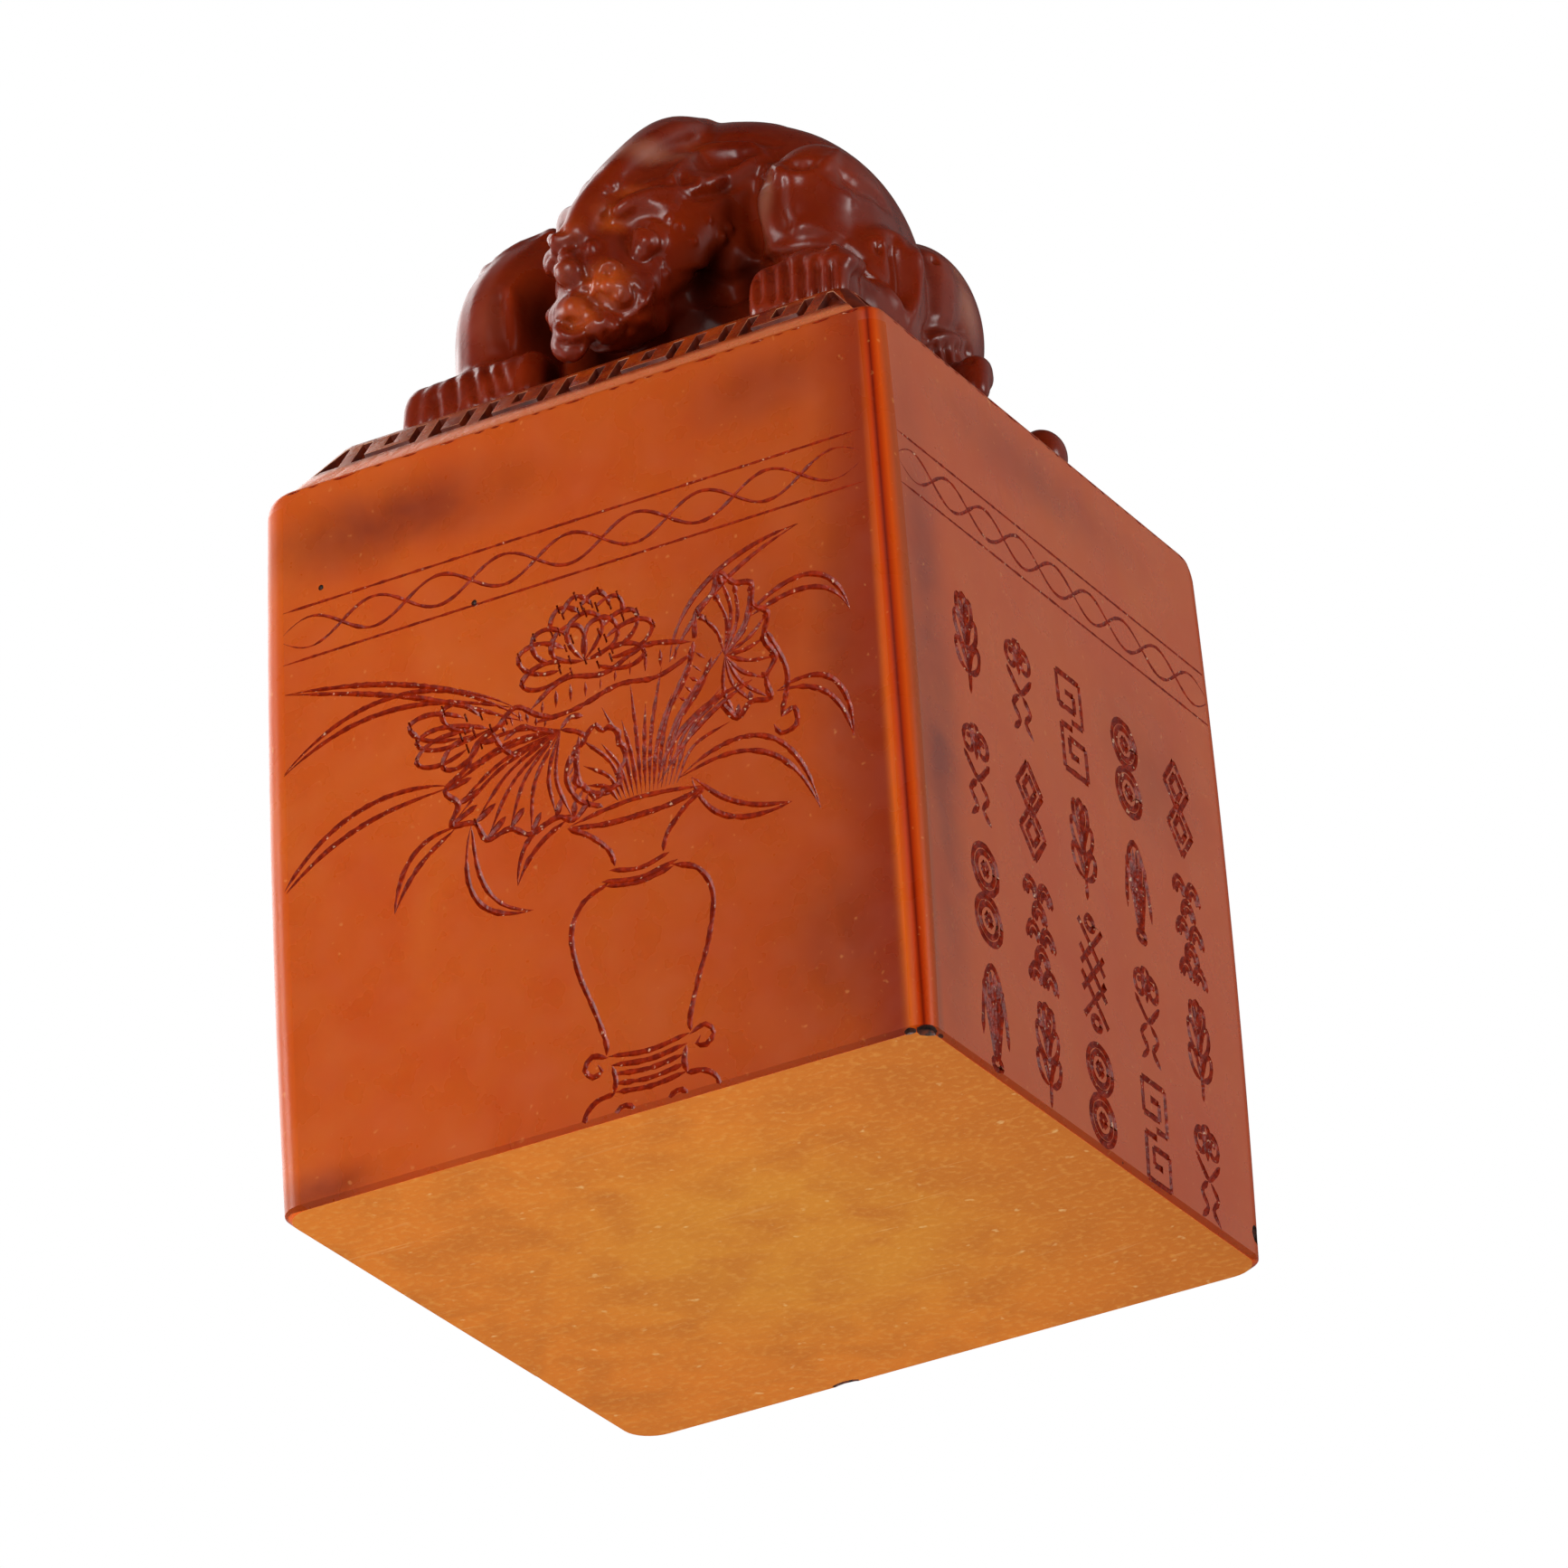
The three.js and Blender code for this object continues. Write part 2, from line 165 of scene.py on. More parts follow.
def add_node(tree, kind, inputs=(), **settings):
    """Adds a shader node. Its inputs come in order or by name, as values, sockets or other nodes."""
    node = tree.nodes.new("ShaderNode" + kind)
    for name, value in settings.items():
        setattr(node, name, value)
    sockets = [socket for socket in node.inputs if socket.enabled]
    for place, value in inputs.items() if isinstance(inputs, dict) else enumerate(inputs):
        socket = node.inputs[place] if isinstance(place, str) else sockets[place]
        if isinstance(value, bpy.types.Node):
            value = next(output for output in value.outputs if output.enabled)
        if isinstance(value, bpy.types.NodeSocket):
            tree.links.new(value, socket)
        else:
            socket.default_value = value
    return node


def fresh_material(name):
    """A new material, its empty node tree and the piece's own coordinates in it."""
    material = bpy.data.materials.new(name)
    material.use_nodes = True
    tree = material.node_tree
    tree.nodes.clear()
    return material, tree, add_node(tree, "TexCoord").outputs["Object"]


def choose_face(mesh, chosen):
    """Leaves one face of a mesh selected."""
    for index, face in enumerate(mesh.polygons):
        face.select = index == chosen


class SEAL_OT_stage(bpy.types.Operator):
    """Sets the camera, the studio's light and the pale floor that the seal stands on"""

    bl_idname = "seal.stage"
    bl_label = "Studio, floor and camera"

    def execute(self, context):
        camera_data = bpy.data.cameras.new("photo_view")
        camera_data.lens = context.scene.seal_studio.lens
        camera_data.sensor_width = SENSOR_WIDTH
        camera_data.clip_start = 0.01
        camera = bpy.data.objects.new("photo_view", camera_data)
        camera.matrix_world = Matrix.Translation(VIEW_POINT) @ view_rotation().to_4x4()
        context.scene.collection.objects.link(camera)
        context.scene.camera = camera
        context.scene.view_settings.view_transform = "Standard"
        self.light_world(context)
        self.add_lamps(context)
        self.lay_floor()
        return {"FINISHED"}

    def light_world(self, context):
        """White for the camera. The seal sees soft walls at its left and back, with a dark door between."""
        world = bpy.data.worlds.new("studio")
        context.scene.world = world
        world.use_nodes = True
        tree = world.node_tree
        tree.nodes.clear()
        x, y, z = add_node(tree, "SeparateXYZ", [add_node(tree, "TexCoord").outputs["Generated"]]).outputs
        back_wall = add_node(tree, "MapRange", [y, -0.3, 0.8, 0.04, 0.4])
        lid = add_node(tree, "MapRange", [z, 0.6, 0.95, 1.0, 0.35])
        shaded_wall = add_node(tree, "Math", [back_wall, lid], operation="MULTIPLY")
        left_wall = add_node(tree, "MapRange", [x, -0.9, -0.45, 0.3, 0.0])
        from_door = add_node(tree, "Math", [x, 0.1], operation="ADD")
        aside = add_node(tree, "Math", [from_door], operation="ABSOLUTE")
        door = add_node(tree, "MapRange", [aside, 0.1, 0.45, 0.25, 1.0])
        studio = add_node(tree, "Math", [shaded_wall, door, left_wall], operation="MULTIPLY_ADD")
        seen = add_node(tree, "LightPath").outputs["Is Camera Ray"]
        strength = add_node(tree, "Mix", [seen, studio, 1.0])
        light = add_node(tree, "Background", [(1, 1, 1, 1), strength])
        add_node(tree, "OutputWorld", [light])

    def add_lamps(self, context):
        for name, place, width, watts in LAMPS:
            data = bpy.data.lights.new(name, "AREA")
            data.shape = "DISK"
            data.size = width
            data.energy = watts
            lamp = bpy.data.objects.new(name, data)
            lamp.location = place
            lamp.rotation_euler = (VIEW_AIM - Vector(place)).to_track_quat("-Z", "Y").to_euler()
            context.scene.collection.objects.link(lamp)

    def lay_floor(self):
        """A pale floor with an opening under the seal. It is clear from below, where the camera is."""
        bpy.ops.object.select_all(action="DESELECT")
        bpy.ops.mesh.primitive_plane_add(size=FLOOR_WIDTH, location=(0, 0, 0))
        floor = bpy.context.object
        floor.name = "floor"
        bpy.ops.object.mode_set(mode="EDIT")
        bpy.ops.mesh.inset(thickness=FLOOR_INSET)
        bpy.ops.object.mode_set(mode="OBJECT")
        middle = min(floor.data.polygons, key=lambda face: face.area)
        for index in middle.vertices:
            corner = floor.data.vertices[index].co
            corner.x = math.copysign(OPENING_HALF[0] * MM, corner.x)
            corner.y = math.copysign(OPENING_HALF[1] * MM, corner.y)
        choose_face(floor.data, middle.index)
        bpy.ops.object.mode_set(mode="EDIT")
        bpy.ops.mesh.select_mode(type="VERT")
        bpy.ops.mesh.bevel(affect="VERTICES", offset=OPENING_CORNER * MM, segments=4)
        bpy.ops.mesh.select_mode(type="FACE")
        bpy.ops.object.mode_set(mode="OBJECT")
        middle = min(floor.data.polygons, key=lambda face: face.center.length)
        choose_face(floor.data, middle.index)
        bpy.ops.object.mode_set(mode="EDIT")
        bpy.ops.mesh.delete(type="FACE")
        bpy.ops.object.mode_set(mode="OBJECT")
        material, tree, _ = fresh_material("pale_floor_paint")
        paint = add_node(tree, "BsdfDiffuse", [linear("ECEAE6")])
        clear = add_node(tree, "BsdfTransparent")
        below = add_node(tree, "NewGeometry").outputs["Backfacing"]
        add_node(tree, "OutputMaterial", [add_node(tree, "MixShader", [below, paint, clear])])
        floor.data.materials.append(material)


# Stone block, in millimetres: its size, how far its sides lean in, their belly and the wear of its edges

BLOCK_WIDTH = 50
BLOCK_DEPTH = 48.8
BLOCK_HEIGHT = 54.3
LEFT_LEAN = 0.6
RIGHT_LEAN = 0.5
FRONT_LEAN = 0.9
BELLY = 1.75
LEFT_WEAR, RIGHT_WEAR, FRONT_WEAR, BACK_WEAR = 1.1, 0.6, 0.35, 1.9
FOOT_WEAR = 0.35

# Below the first height a face is the printing face, and below the second a corner is worn

PRINTING_LEVEL = 0.02
WORN_CORNER_TOP = 53

# Where the block's mesh is cut into rows: evenly, and closer at its worn top and foot

ROW_PITCH = 1.5
TOP_ROWS = [51.2, 52.1, 52.7, 53.1, 53.45, 53.7, 53.9, 54.05, 54.15, 54.22]
FOOT_ROWS = [0.35, 0.8]


def worn(height, radius):
    """How far a rounded top edge has fallen back at a height."""
    over = max(0.0, height - (BLOCK_HEIGHT - radius))
    return radius - math.sqrt(max(0.0, radius * radius - over * over))


def block_sides(height):
    """Where the block's four sides stand at a height."""
    rise = height / BLOCK_HEIGHT
    belly = BELLY * rise * (1 - rise)
    left = -BLOCK_WIDTH / 2 + LEFT_LEAN * rise - belly + worn(height, LEFT_WEAR)
    right = BLOCK_WIDTH / 2 - RIGHT_LEAN * rise + belly - worn(height, RIGHT_WEAR)
    front = -BLOCK_DEPTH / 2 + FRONT_LEAN * rise + worn(height, FRONT_WEAR)
    back = BLOCK_DEPTH / 2 - worn(height, BACK_WEAR)
    return left, right, front, back


def activate(piece):
    """Makes a piece the only one that operators act on."""
    bpy.ops.object.select_all(action="DESELECT")
    piece.select_set(True)
    bpy.context.view_layer.objects.active = piece


def apply_modifier(piece, kind, **settings):
    """Puts a modifier on a piece and applies it."""
    modifier = piece.modifiers.new(kind.lower(), kind)
    for name, value in settings.items():
        setattr(modifier, name, value)
    activate(piece)
    bpy.ops.object.modifier_apply(modifier=modifier.name)


def cut_rows(axis, places):
    """Cuts the mesh in edit mode into rows at places along an axis, in millimetres."""
    for place in places:
        point = [0, 0, 0]
        normal = [0, 0, 0]
        point[axis] = place * MM
        normal[axis] = 1
        bpy.ops.mesh.select_all(action="SELECT")
        bpy.ops.mesh.bisect(plane_co=point, plane_no=normal, threshold=1e-7)


def rough_block(corner, near_corner):
    """The block before engraving: a cube with rounded upright edges, cut into rows and drawn to its lean."""
    bpy.ops.object.select_all(action="DESELECT")
    bpy.ops.mesh.primitive_cube_add(size=1, location=(0, 0, BLOCK_HEIGHT / 2 * MM),
                                    scale=(BLOCK_WIDTH * MM, BLOCK_DEPTH * MM, BLOCK_HEIGHT * MM))
    block = bpy.context.object
    half_width, half_depth = BLOCK_WIDTH / 2, BLOCK_DEPTH / 2
    bpy.ops.object.transform_apply(location=True, rotation=True, scale=True)
    for radius, near in ((corner, False), (near_corner, True)):
        bpy.ops.object.mode_set(mode="EDIT")
        bpy.ops.mesh.select_all(action="DESELECT")
        bpy.ops.mesh.select_mode(type="EDGE")
        bpy.ops.object.mode_set(mode="OBJECT")
        for edge in block.data.edges:
            a, b = (block.data.vertices[i].co / MM for i in edge.vertices)
            off_corner = max(abs(abs(a.x) - half_width), abs(abs(a.y) - half_depth))
            upright = abs(a.z - b.z) > BLOCK_HEIGHT / 2
            edge.select = upright and off_corner < 0.01 and near == (a.x > 0 > a.y)
        bpy.ops.object.mode_set(mode="EDIT")
        bpy.ops.mesh.bevel(offset=radius, segments=8)
        bpy.ops.object.mode_set(mode="OBJECT")
    bpy.ops.object.mode_set(mode="EDIT")
    cut_rows(2, FOOT_ROWS + [ROW_PITCH * i for i in range(1, 34)] + TOP_ROWS)
    cut_rows(0, [ROW_PITCH * i for i in range(-15, 16)])
    cut_rows(1, [ROW_PITCH * i for i in range(-14, 15)])
    bpy.ops.object.mode_set(mode="OBJECT")
    for vertex in block.data.vertices:
        x, y, z = vertex.co / MM
        left, right, front, back = block_sides(z)
        foot = FOOT_WEAR if z < 0.01 else 0.0
        x = left + (right - left) * (x + half_width) / BLOCK_WIDTH
        y = front + (back - front) * (y + half_depth) / BLOCK_DEPTH
        vertex.co = Vector((x * (1 - foot / half_width), y * (1 - foot / half_depth), z)) * MM
    return block


def smooth_line(points, spacing):
    """Points along the smooth curve through the given ones, about one spacing apart."""
    points = [np.array(p, float) for p in points]
    if len(points) == 2:
        count = max(2, int(np.linalg.norm(points[1] - points[0]) / spacing))
        return [points[0] + (points[1] - points[0]) * i / count for i in range(count + 1)]
    ends = [2 * points[0] - points[1]] + points + [2 * points[-1] - points[-2]]
    line = []
    for a, b, c, d in zip(ends, ends[1:], ends[2:], ends[3:]):
        count = max(1, int(np.linalg.norm(c - b) / spacing + 0.5))
        for i in range(count):
            t = i / count
            line.append(0.5 * (2 * b + (c - a) * t + (2 * a - 5 * b + 4 * c - d) * t * t
                               + (3 * b - 3 * c + d - a) * t ** 3))
    return line + [points[-1]]


# A drawn line is (points, full width, taper): points across and up a face in millimetres

def blade(root, bow, tip, breadth):
    """A long grass leaf: two edges that part after the root, bow over and meet at the tip."""
    root, bow, tip = (np.array(p, float) for p in (root, bow, tip))
    away = tip - root
    side = np.array([-away[1], away[0]]) / np.linalg.norm(away)
    edges = []
    for hand in (-0.5, 0.5):
        line = []
        for i in range(17):
            t = i / 16
            point = (1 - t) ** 2 * root + 2 * t * (1 - t) * bow + t * t * tip
            line.append(point + side * hand * breadth * math.sin(math.pi * t ** 0.8) ** 0.8)
        edges.append((line, 0.42, 0.35))
    return edges


def braid(start, end, low, high, pitch):
    """The border: two rules with a two-strand braid between them."""
    middle = (low + high) / 2
    swing = (high - low) * 0.29
    lines = [([(start, z), (end, z)], 0.26, 0.05) for z in (low, high)]
    for hand in (-1, 1):
        count = int((end - start) / 0.45)
        line = []
        for i in range(count + 1):
            s = start + 0.2 + (end - start - 0.4) * i / count
            line.append((s, middle + hand * swing * math.sin(math.pi * (s - start) / pitch)))
        lines.append((line, 0.3, 0.1))
    return lines


# The gravers: how far their round noses stand off the face, their sides and the tremble of the hand

GRAVER_LIFT = 0.16
GRAVER_SIDES = 7
TREMBLE = 0.34


def cut_lines(name, lines, place, out, width_scale):
    """Round-nosed gravers along the drawn lines, one mesh each, to be taken off the block."""
    tools = bpy.data.collections.new(name)
    bpy.context.scene.collection.children.link(tools)
    for index, (points, width, taper) in enumerate(lines):
        shape = bmesh.new()
        line = smooth_line(points, 0.4)
        centres = [place(s, z) + out * GRAVER_LIFT for s, z in line]
        rings = []
        for i, centre in enumerate(centres):
            share = i / (len(line) - 1)
            ease = min(1.0, min(share, 1 - share) / taper + 0.12) if taper > 0 else 1.0
            tremble = 1 + TREMBLE * noise.noise(Vector((line[i][0] * 2.1, line[i][1] * 2.1, index * 3.1)))
            radius = math.hypot(0.5 * width * width_scale * ease ** 0.6 * tremble, GRAVER_LIFT)
            along = (centres[min(i + 1, len(line) - 1)] - centres[max(i - 1, 0)]).normalized()
            across = along.cross(out)
            turns = [2 * math.pi * k / GRAVER_SIDES + 0.3 for k in range(GRAVER_SIDES)]
            rings.append([
                shape.verts.new((centre + radius * (across * math.cos(turn) + out * math.sin(turn))) * MM)
                for turn in turns
            ])
        for low, high in zip(rings, rings[1:]):
            for k in range(GRAVER_SIDES):
                j = (k + 1) % GRAVER_SIDES
                shape.faces.new((low[k], high[k], high[j], low[j]))
        shape.faces.new(rings[0])
        shape.faces.new(rings[-1][::-1])
        mesh = bpy.data.meshes.new(name)
        shape.to_mesh(mesh)
        shape.free()
        tools.objects.link(bpy.data.objects.new(name, mesh))
    return tools


def on_front(s, z):
    """A place on the leaning front face, across and up."""
    return Vector((s, block_sides(z)[2], z))


def on_right(s, z):
    """A place on the leaning right face, back and up."""
    return Vector((block_sides(z)[1], s, z))


def petal(x, z, reach, breadth, turn, hidden=0.0, width=0.4):
    """A pointed petal from its base. Its lower part can be hidden behind the petals before it."""
    turn = math.radians(turn)
    line = []
    for i in range(17):
        t = hidden + (1 - 2 * hidden) * i / 16
        along = reach * (1 - abs(2 * t - 1) ** 1.5)
        across = math.copysign(breadth * max(0.0, math.sin(math.pi * min(t, 1 - t) * 2)) ** 0.9, 0.5 - t)
        line.append((x - across * math.cos(turn) + along * math.sin(turn),
                     z + across * math.sin(turn) + along * math.cos(turn)))
    return (line, width, 0.12)


LOTUS_PETALS = [
    (-38, 3.0, 1.2, 0.0), (0, 3.2, 1.25, 0.0), (38, 3.0, 1.2, 0.0),
    (-74, 4.8, 1.0, 0.12), (-56, 4.3, 1.05, 0.14),
    (57, 4.3, 1.05, 0.14), (75, 4.9, 1.0, 0.12), (-26, 4.3, 1.1, 0.3),
    (-9, 4.5, 1.1, 0.32), (12, 4.5, 1.1, 0.32),
    (31, 4.4, 1.1, 0.3), (-97, 4.4, 0.8, 0.08), (97, 4.2, 0.8, 0.08),
]


def lotus(x, z, size, lean):
    """An open lotus: three petals in front, those spread beside them and the tips of those behind."""
    return [petal(x, z, reach * size, breadth * size, lean + turn, hidden)
            for turn, reach, breadth, hidden in LOTUS_PETALS]


def drops(lines):
    """Drilled dots at the ends and tips of lines."""
    dots = []
    for points, _, _ in lines:
        for s, z in {points[0], points[len(points) // 2], points[-1]}:
            dots.append(([(s, z), (s + 0.14, z + 0.04)], 0.8, 0.0))
    return dots


def fan_leaf(heart, rim):
    """A lotus leaf that hangs open: a ragged rim and bowed veins from its heart."""
    lines = [(rim, 0.46, 0.0)]
    for s, z in rim[1:-1]:
        lines.append(([(s, z), (s + 0.2 * (heart[0] - s) + 0.3, z + 0.2 * (heart[1] - z))], 0.5, 0.3))
        bow = ((heart[0] + s) / 2 + 0.12 * (z - heart[1]), (heart[1] + z) / 2 - 0.08 * (s - heart[0]))
        lines.append(([heart, bow, (s, z)], 0.34, 0.3))
    return lines


def hatched(upper, lower, count):
    """A curled ribbon of leaf: its two edges and slanted strokes between them."""
    lines = [(upper, 0.42, 0.1), (lower, 0.42, 0.1)]
    top, low = smooth_line(upper, 0.3), smooth_line(lower, 0.3)
    for i in range(1, count):
        a = top[int(i / count * (len(top) - 1))]
        b = low[int((i - 0.4) / count * (len(low) - 1))]
        lines.append(([tuple(0.8 * a + 0.2 * b), tuple(0.25 * a + 0.75 * b)], 0.3, 0.3))
    return lines


def frilled_rim(x, z, wide, high, lean, phase):
    """The frilled rim of a young lotus leaf."""
    lean = math.radians(lean)
    rim = []
    for i in range(41):
        turn = 2 * math.pi * i / 40
        frill = 1 + 0.09 * math.sin(7 * turn + phase) + 0.04 * math.sin(13 * turn)
        across = wide * math.cos(turn) * frill
        up = high * math.sin(turn) * frill
        rim.append((x + across * math.cos(lean) - up * math.sin(lean),
                    z + across * math.sin(lean) + up * math.cos(lean)))
    return (rim, 0.46, 0.0)


def mirrored(lines, middle):
    """Lines and their mirror images about an upright line."""
    images = []
    for points, width, taper in lines:
        images.append(([(2 * middle - s, z) for s, z in points], width, taper))
    return lines + images


def vase_lines(middle):
    """A baluster vase on a scrolled stand."""
    m = middle
    half = [
        ([(m + 5.3, 22), (m + 3.6, 20.9), (m + 2.2, 19.4), (m + 1.85, 18.2)], 0.42, 0.08),
        ([(m + 2.4, 17.1), (m + 4.4, 16.2), (m + 5.4, 14.2), (m + 5, 11.2), (m + 3.9, 8), (m + 3.2, 5.6),
          (m + 3.2, 4.6)], 0.42, 0.05),
        ([(m + 3.1, 4.4), (m + 4.3, 4.8), (m + 4.9, 4), (m + 4.3, 3.3), (m + 3.6, 3.6),
          (m + 3.9, 4.1)], 0.42, 0.15),
        ([(m + 2.8, 3.7), (m + 2.6, 2.6), (m + 2.8, 1.7)], 0.42, 0.1),
        ([(m + 2.7, 1.7), (m + 4.1, 1.5), (m + 5, 0.7), (m + 5.1, -0.2)], 0.42, 0.1),
        ([(m + 2.9, -0.1), (m + 2.3, 0.6), (m + 1.6, 0.5), (m + 1.3, -0.1)], 0.42, 0.15),
    ]
    rings = [
        ([(m - 5.3, 22), (m - 2.6, 21.5), (m, 21.4), (m + 2.6, 21.5), (m + 5.3, 22)], 0.46, 0.08),
        ([(m - 5.2, 22.1), (m - 2.6, 22.5), (m, 22.7), (m + 2.6, 22.5), (m + 5.2, 22.1)], 0.36, 0.2),
    ]
    for reach, z, sag in ((2.3, 18, 0.5), (2.9, 17.3, 0.5), (2.6, 16.9, 0.4), (3.1, 4.5, 0.4),
                          (2.9, 3.8, 0.35), (2.7, 3.1, 0.3), (2.7, 2.4, 0.3), (2.8, 1.8, 0.3)):
        rings.append(([(m - reach, z), (m, z - sag), (m + reach, z)], 0.4, 0.15))
    return mirrored(half, m) + rings


# Grass leaves of the bouquet: root, bow, tip and breadth. Its tuft of single lines: lean in degrees and reach

GRASS = [
    ((-4, 31), (-11, 36.6), (-22.6, 38.6), 0.9), ((-4.6, 32.2), (-15, 38.6), (-23.3, 32.2), 1.0),
    ((-9.8, 27.8), (-18.4, 29.2), (-23.7, 23), 1.2), ((-9.6, 24.6), (-13.4, 24), (-14.6, 19.6), 1.0),
    ((-8.4, 24.4), (-9.4, 17.4), (-3.9, 16.8), 1.0), ((-0.6, 22.9), (-4.4, 22.6), (-5, 18.9), 1.0),
    ((7.4, 32), (9.6, 38), (17.7, 39.3), 1.1), ((13.2, 33.4), (19.4, 37), (21.2, 31.8), 1.0),
    ((15.4, 27.4), (20.4, 28.4), (20.9, 22.4), 1.0), ((7.6, 23.2), (15.6, 27), (18.1, 17.9), 1.1),
    ((8.6, 23), (10.6, 18.6), (16, 19), 1.1), ((6, 23.2), (8, 27.6), (13.6, 28.8), 0.9),
]
TUFT = [(-52, 3), (-40, 4.4), (-31, 6.4), (-23, 5), (-16, 7.6), (-9, 6), (-3, 8.4), (3, 6.6), (9, 9),
        (15, 7), (20, 10.4), (25, 8), (30, 10.6), (36, 7.4), (43, 8.6), (52, 5.4)]


def grass_tuft(x, z):
    """Single lines that fan out of the vase's mouth."""
    lines = []
    for i, (lean, reach) in enumerate(TUFT):
        turn = math.radians(lean)
        s = x + (i - 7.5) * 0.3
        middle = (s + 0.5 * reach * math.sin(turn * 0.6), z + 0.5 * reach * math.cos(turn * 0.6))
        tip = (s + reach * math.sin(turn), z + reach * math.cos(turn))
        lines.append(([(s, z), middle, tip], 0.34, 0.3))
    return lines


# A bud seen from its side, as petals: reach, breadth, turn in degrees and hidden share

BUD = [(5.8, 0.8, -84, 0.0), (6.6, 1.0, -72, 0.12), (5.9, 1.0, -98, 0.12), (4.4, 0.9, -56, 0.1),
       (4.2, 0.9, -116, 0.1)]

# Hanging leaves: heart and rim

LEAVES = [
    ((-1.2, 29.5), [
        (-5.4, 31.4), (-7.6, 30.4), (-8.6, 28.8), (-10.3, 27.6), (-9.3, 26.3), (-9.9, 24.9), (-8.1, 24.5),
        (-7.2, 23), (-5.4, 23.3), (-3.8, 22.4), (-1.8, 23.1), (-0.5, 22.5), (0.6, 23.4)]),
    ((11.6, 31.2), [
        (9.4, 33.2), (9.6, 35), (11, 36.2), (11.4, 37.6), (12.6, 36.4), (13.9, 36), (13.9, 34.4), (15, 33.4),
        (14.6, 31.6), (15.4, 30), (14.6, 28.6), (14.9, 27), (13.4, 27.2), (12.3, 26.3), (11.2, 27.6)]),
]

# Curled ribbons of leaf, as upper edge, lower edge and number of strokes, and the stalks and tendrils between

LONG_RIBBON = ([(-3.4, 31.7), (-0.8, 33.2), (2.4, 32.7), (5.6, 33.8), (9.2, 33)],
               [(-3.2, 30.6), (0, 30.7), (3.4, 31.5), (6.4, 31.2), (9.4, 32.2)], 11)
RIGHT_RIBBON = ([(9.3, 33), (8.6, 30.6), (7.2, 28.6)], [(10.6, 31.4), (9.6, 29.4), (8, 27.6)], 6)
LEFT_RIBBON = ([(-6.2, 31), (-4.6, 32.2), (-3, 31.2), (-1.4, 30.4)],
               [(-5.6, 30), (-4.2, 30.6), (-2.8, 29.9), (-1.6, 29.4)], 7)
LOW_RIBBON = ([(-0.6, 27.4), (-0.9, 25.6), (0, 23.8), (1.8, 22.8)],
              [(0.2, 28.6), (-0.1, 26), (0.7, 24.3), (2.4, 23.6)], 9)
MIDDLE_STALKS = [([(-1.2, 29.5), (-0.4, 30.2), (0.6, 30)], 0.4, 0.2),
                 ([(-1.2, 29.5), (0, 29), (0.8, 28.4)], 0.4, 0.2)]
OUTER_STALKS = [([(-6.6, 31.2), (-5.8, 29.6), (-4.6, 28.4)], 0.4, 0.2),
                ([(14.8, 32.2), (16.2, 28.6), (15.6, 25.4)], 0.44, 0.1),
                ([(15.6, 25.4), (16.6, 25.8), (16.7, 24.5), (15.5, 24.2), (15, 25)], 0.42, 0.1)]


def bouquet_lines():
    """A vase of lotus and long grass, the traditional picture of peace and plenty."""
    lines = vase_lines(4.3)
    for root, bow, tip, breadth in GRASS:
        lines += blade(root, bow, tip, breadth)
    lines += grass_tuft(5.2, 22.9)
    flowers = lotus(0.9, 34.1, size=1.12, lean=3)
    flowers += [petal(-6.6, 31.2, *shape) for shape in BUD]
    lines += flowers + drops(flowers)
    left, right = (fan_leaf(heart, rim) for heart, rim in LEAVES)
    lines += left + right + drops([left[0], right[1]])
    lines += hatched(*LONG_RIBBON) + hatched(*RIGHT_RIBBON)
    lines.append(frilled_rim(1.7, 26.3, wide=1.9, high=2.5, lean=4, phase=2.2))
    return lines + hatched(*LEFT_RIBBON) + MIDDLE_STALKS + hatched(*LOW_RIBBON) + OUTER_STALKS


# Ornaments in a box from -1 to 1 each way: lists of (points, width, taper)

def angular(points):
    """Straight strokes that meet at sharp corners."""
    return [([a, b], 1.0, 0.0) for a, b in zip(points, points[1:])]


def ring_line(x, y, across, up, start=0.0, turn=360.0, shrink=0.0):
    """An arc, a ring or a spiral about a point."""
    count = 8 + int(abs(turn) / 24)
    line = []
    for i in range(count + 1):
        share = i / count
        angle = math.radians(start + turn * share)
        size = 1 - shrink * share
        line.append((x + across * size * math.cos(angle), y + up * size * math.sin(angle)))
    closed = turn == 360 and shrink == 0
    return (line, 1.0, 0.0 if closed else 0.08)


def fret_ornament():
    half = angular([(0, 0.08), (0.8, 0.08), (0.8, 0.95), (-0.85, 0.95), (-0.85, 0.3), (0.3, 0.3),
                    (0.3, 0.62), (-0.3, 0.62)])
    return half + [([(-x, -y) for x, y in points], width, taper) for points, width, taper in half]


def cloud_ornament():
    return [
        ring_line(-0.45, 0.5, 0.5, 0.28, 20, 500, 0.75), ring_line(0.45, 0.5, -0.5, 0.28, 20, 500, 0.75),
        ([(-0.9, 0.25), (-0.4, 0), (0, -0.15), (0.4, 0), (0.9, 0.25)], 1.0, 0.1),
        ([(0, 0.9), (-0.25, 0.75), (-0.05, 0.45), (0, 0.2)], 1.0, 0.1),
        ([(0, 0.9), (0.25, 0.75), (0.05, 0.45), (0, 0.2)], 1.0, 0.1),
        ([(-0.1, -0.2), (-0.6, -0.45), (-0.2, -0.7), (-0.7, -0.95)], 1.0, 0.1),
        ([(0.1, -0.2), (0.6, -0.45), (0.2, -0.7), (0.7, -0.95)], 1.0, 0.1),
    ]


def lozenge_ornament():
    lines = []
    for middle in (0.42, -0.42):
        for size in (1.0, 0.5):
            corners = [(0, middle + 0.52 * size), (0.9 * size, middle), (0, middle - 0.52 * size),
                       (-0.9 * size, middle)]
            lines += angular(corners + corners[:1])
    return lines


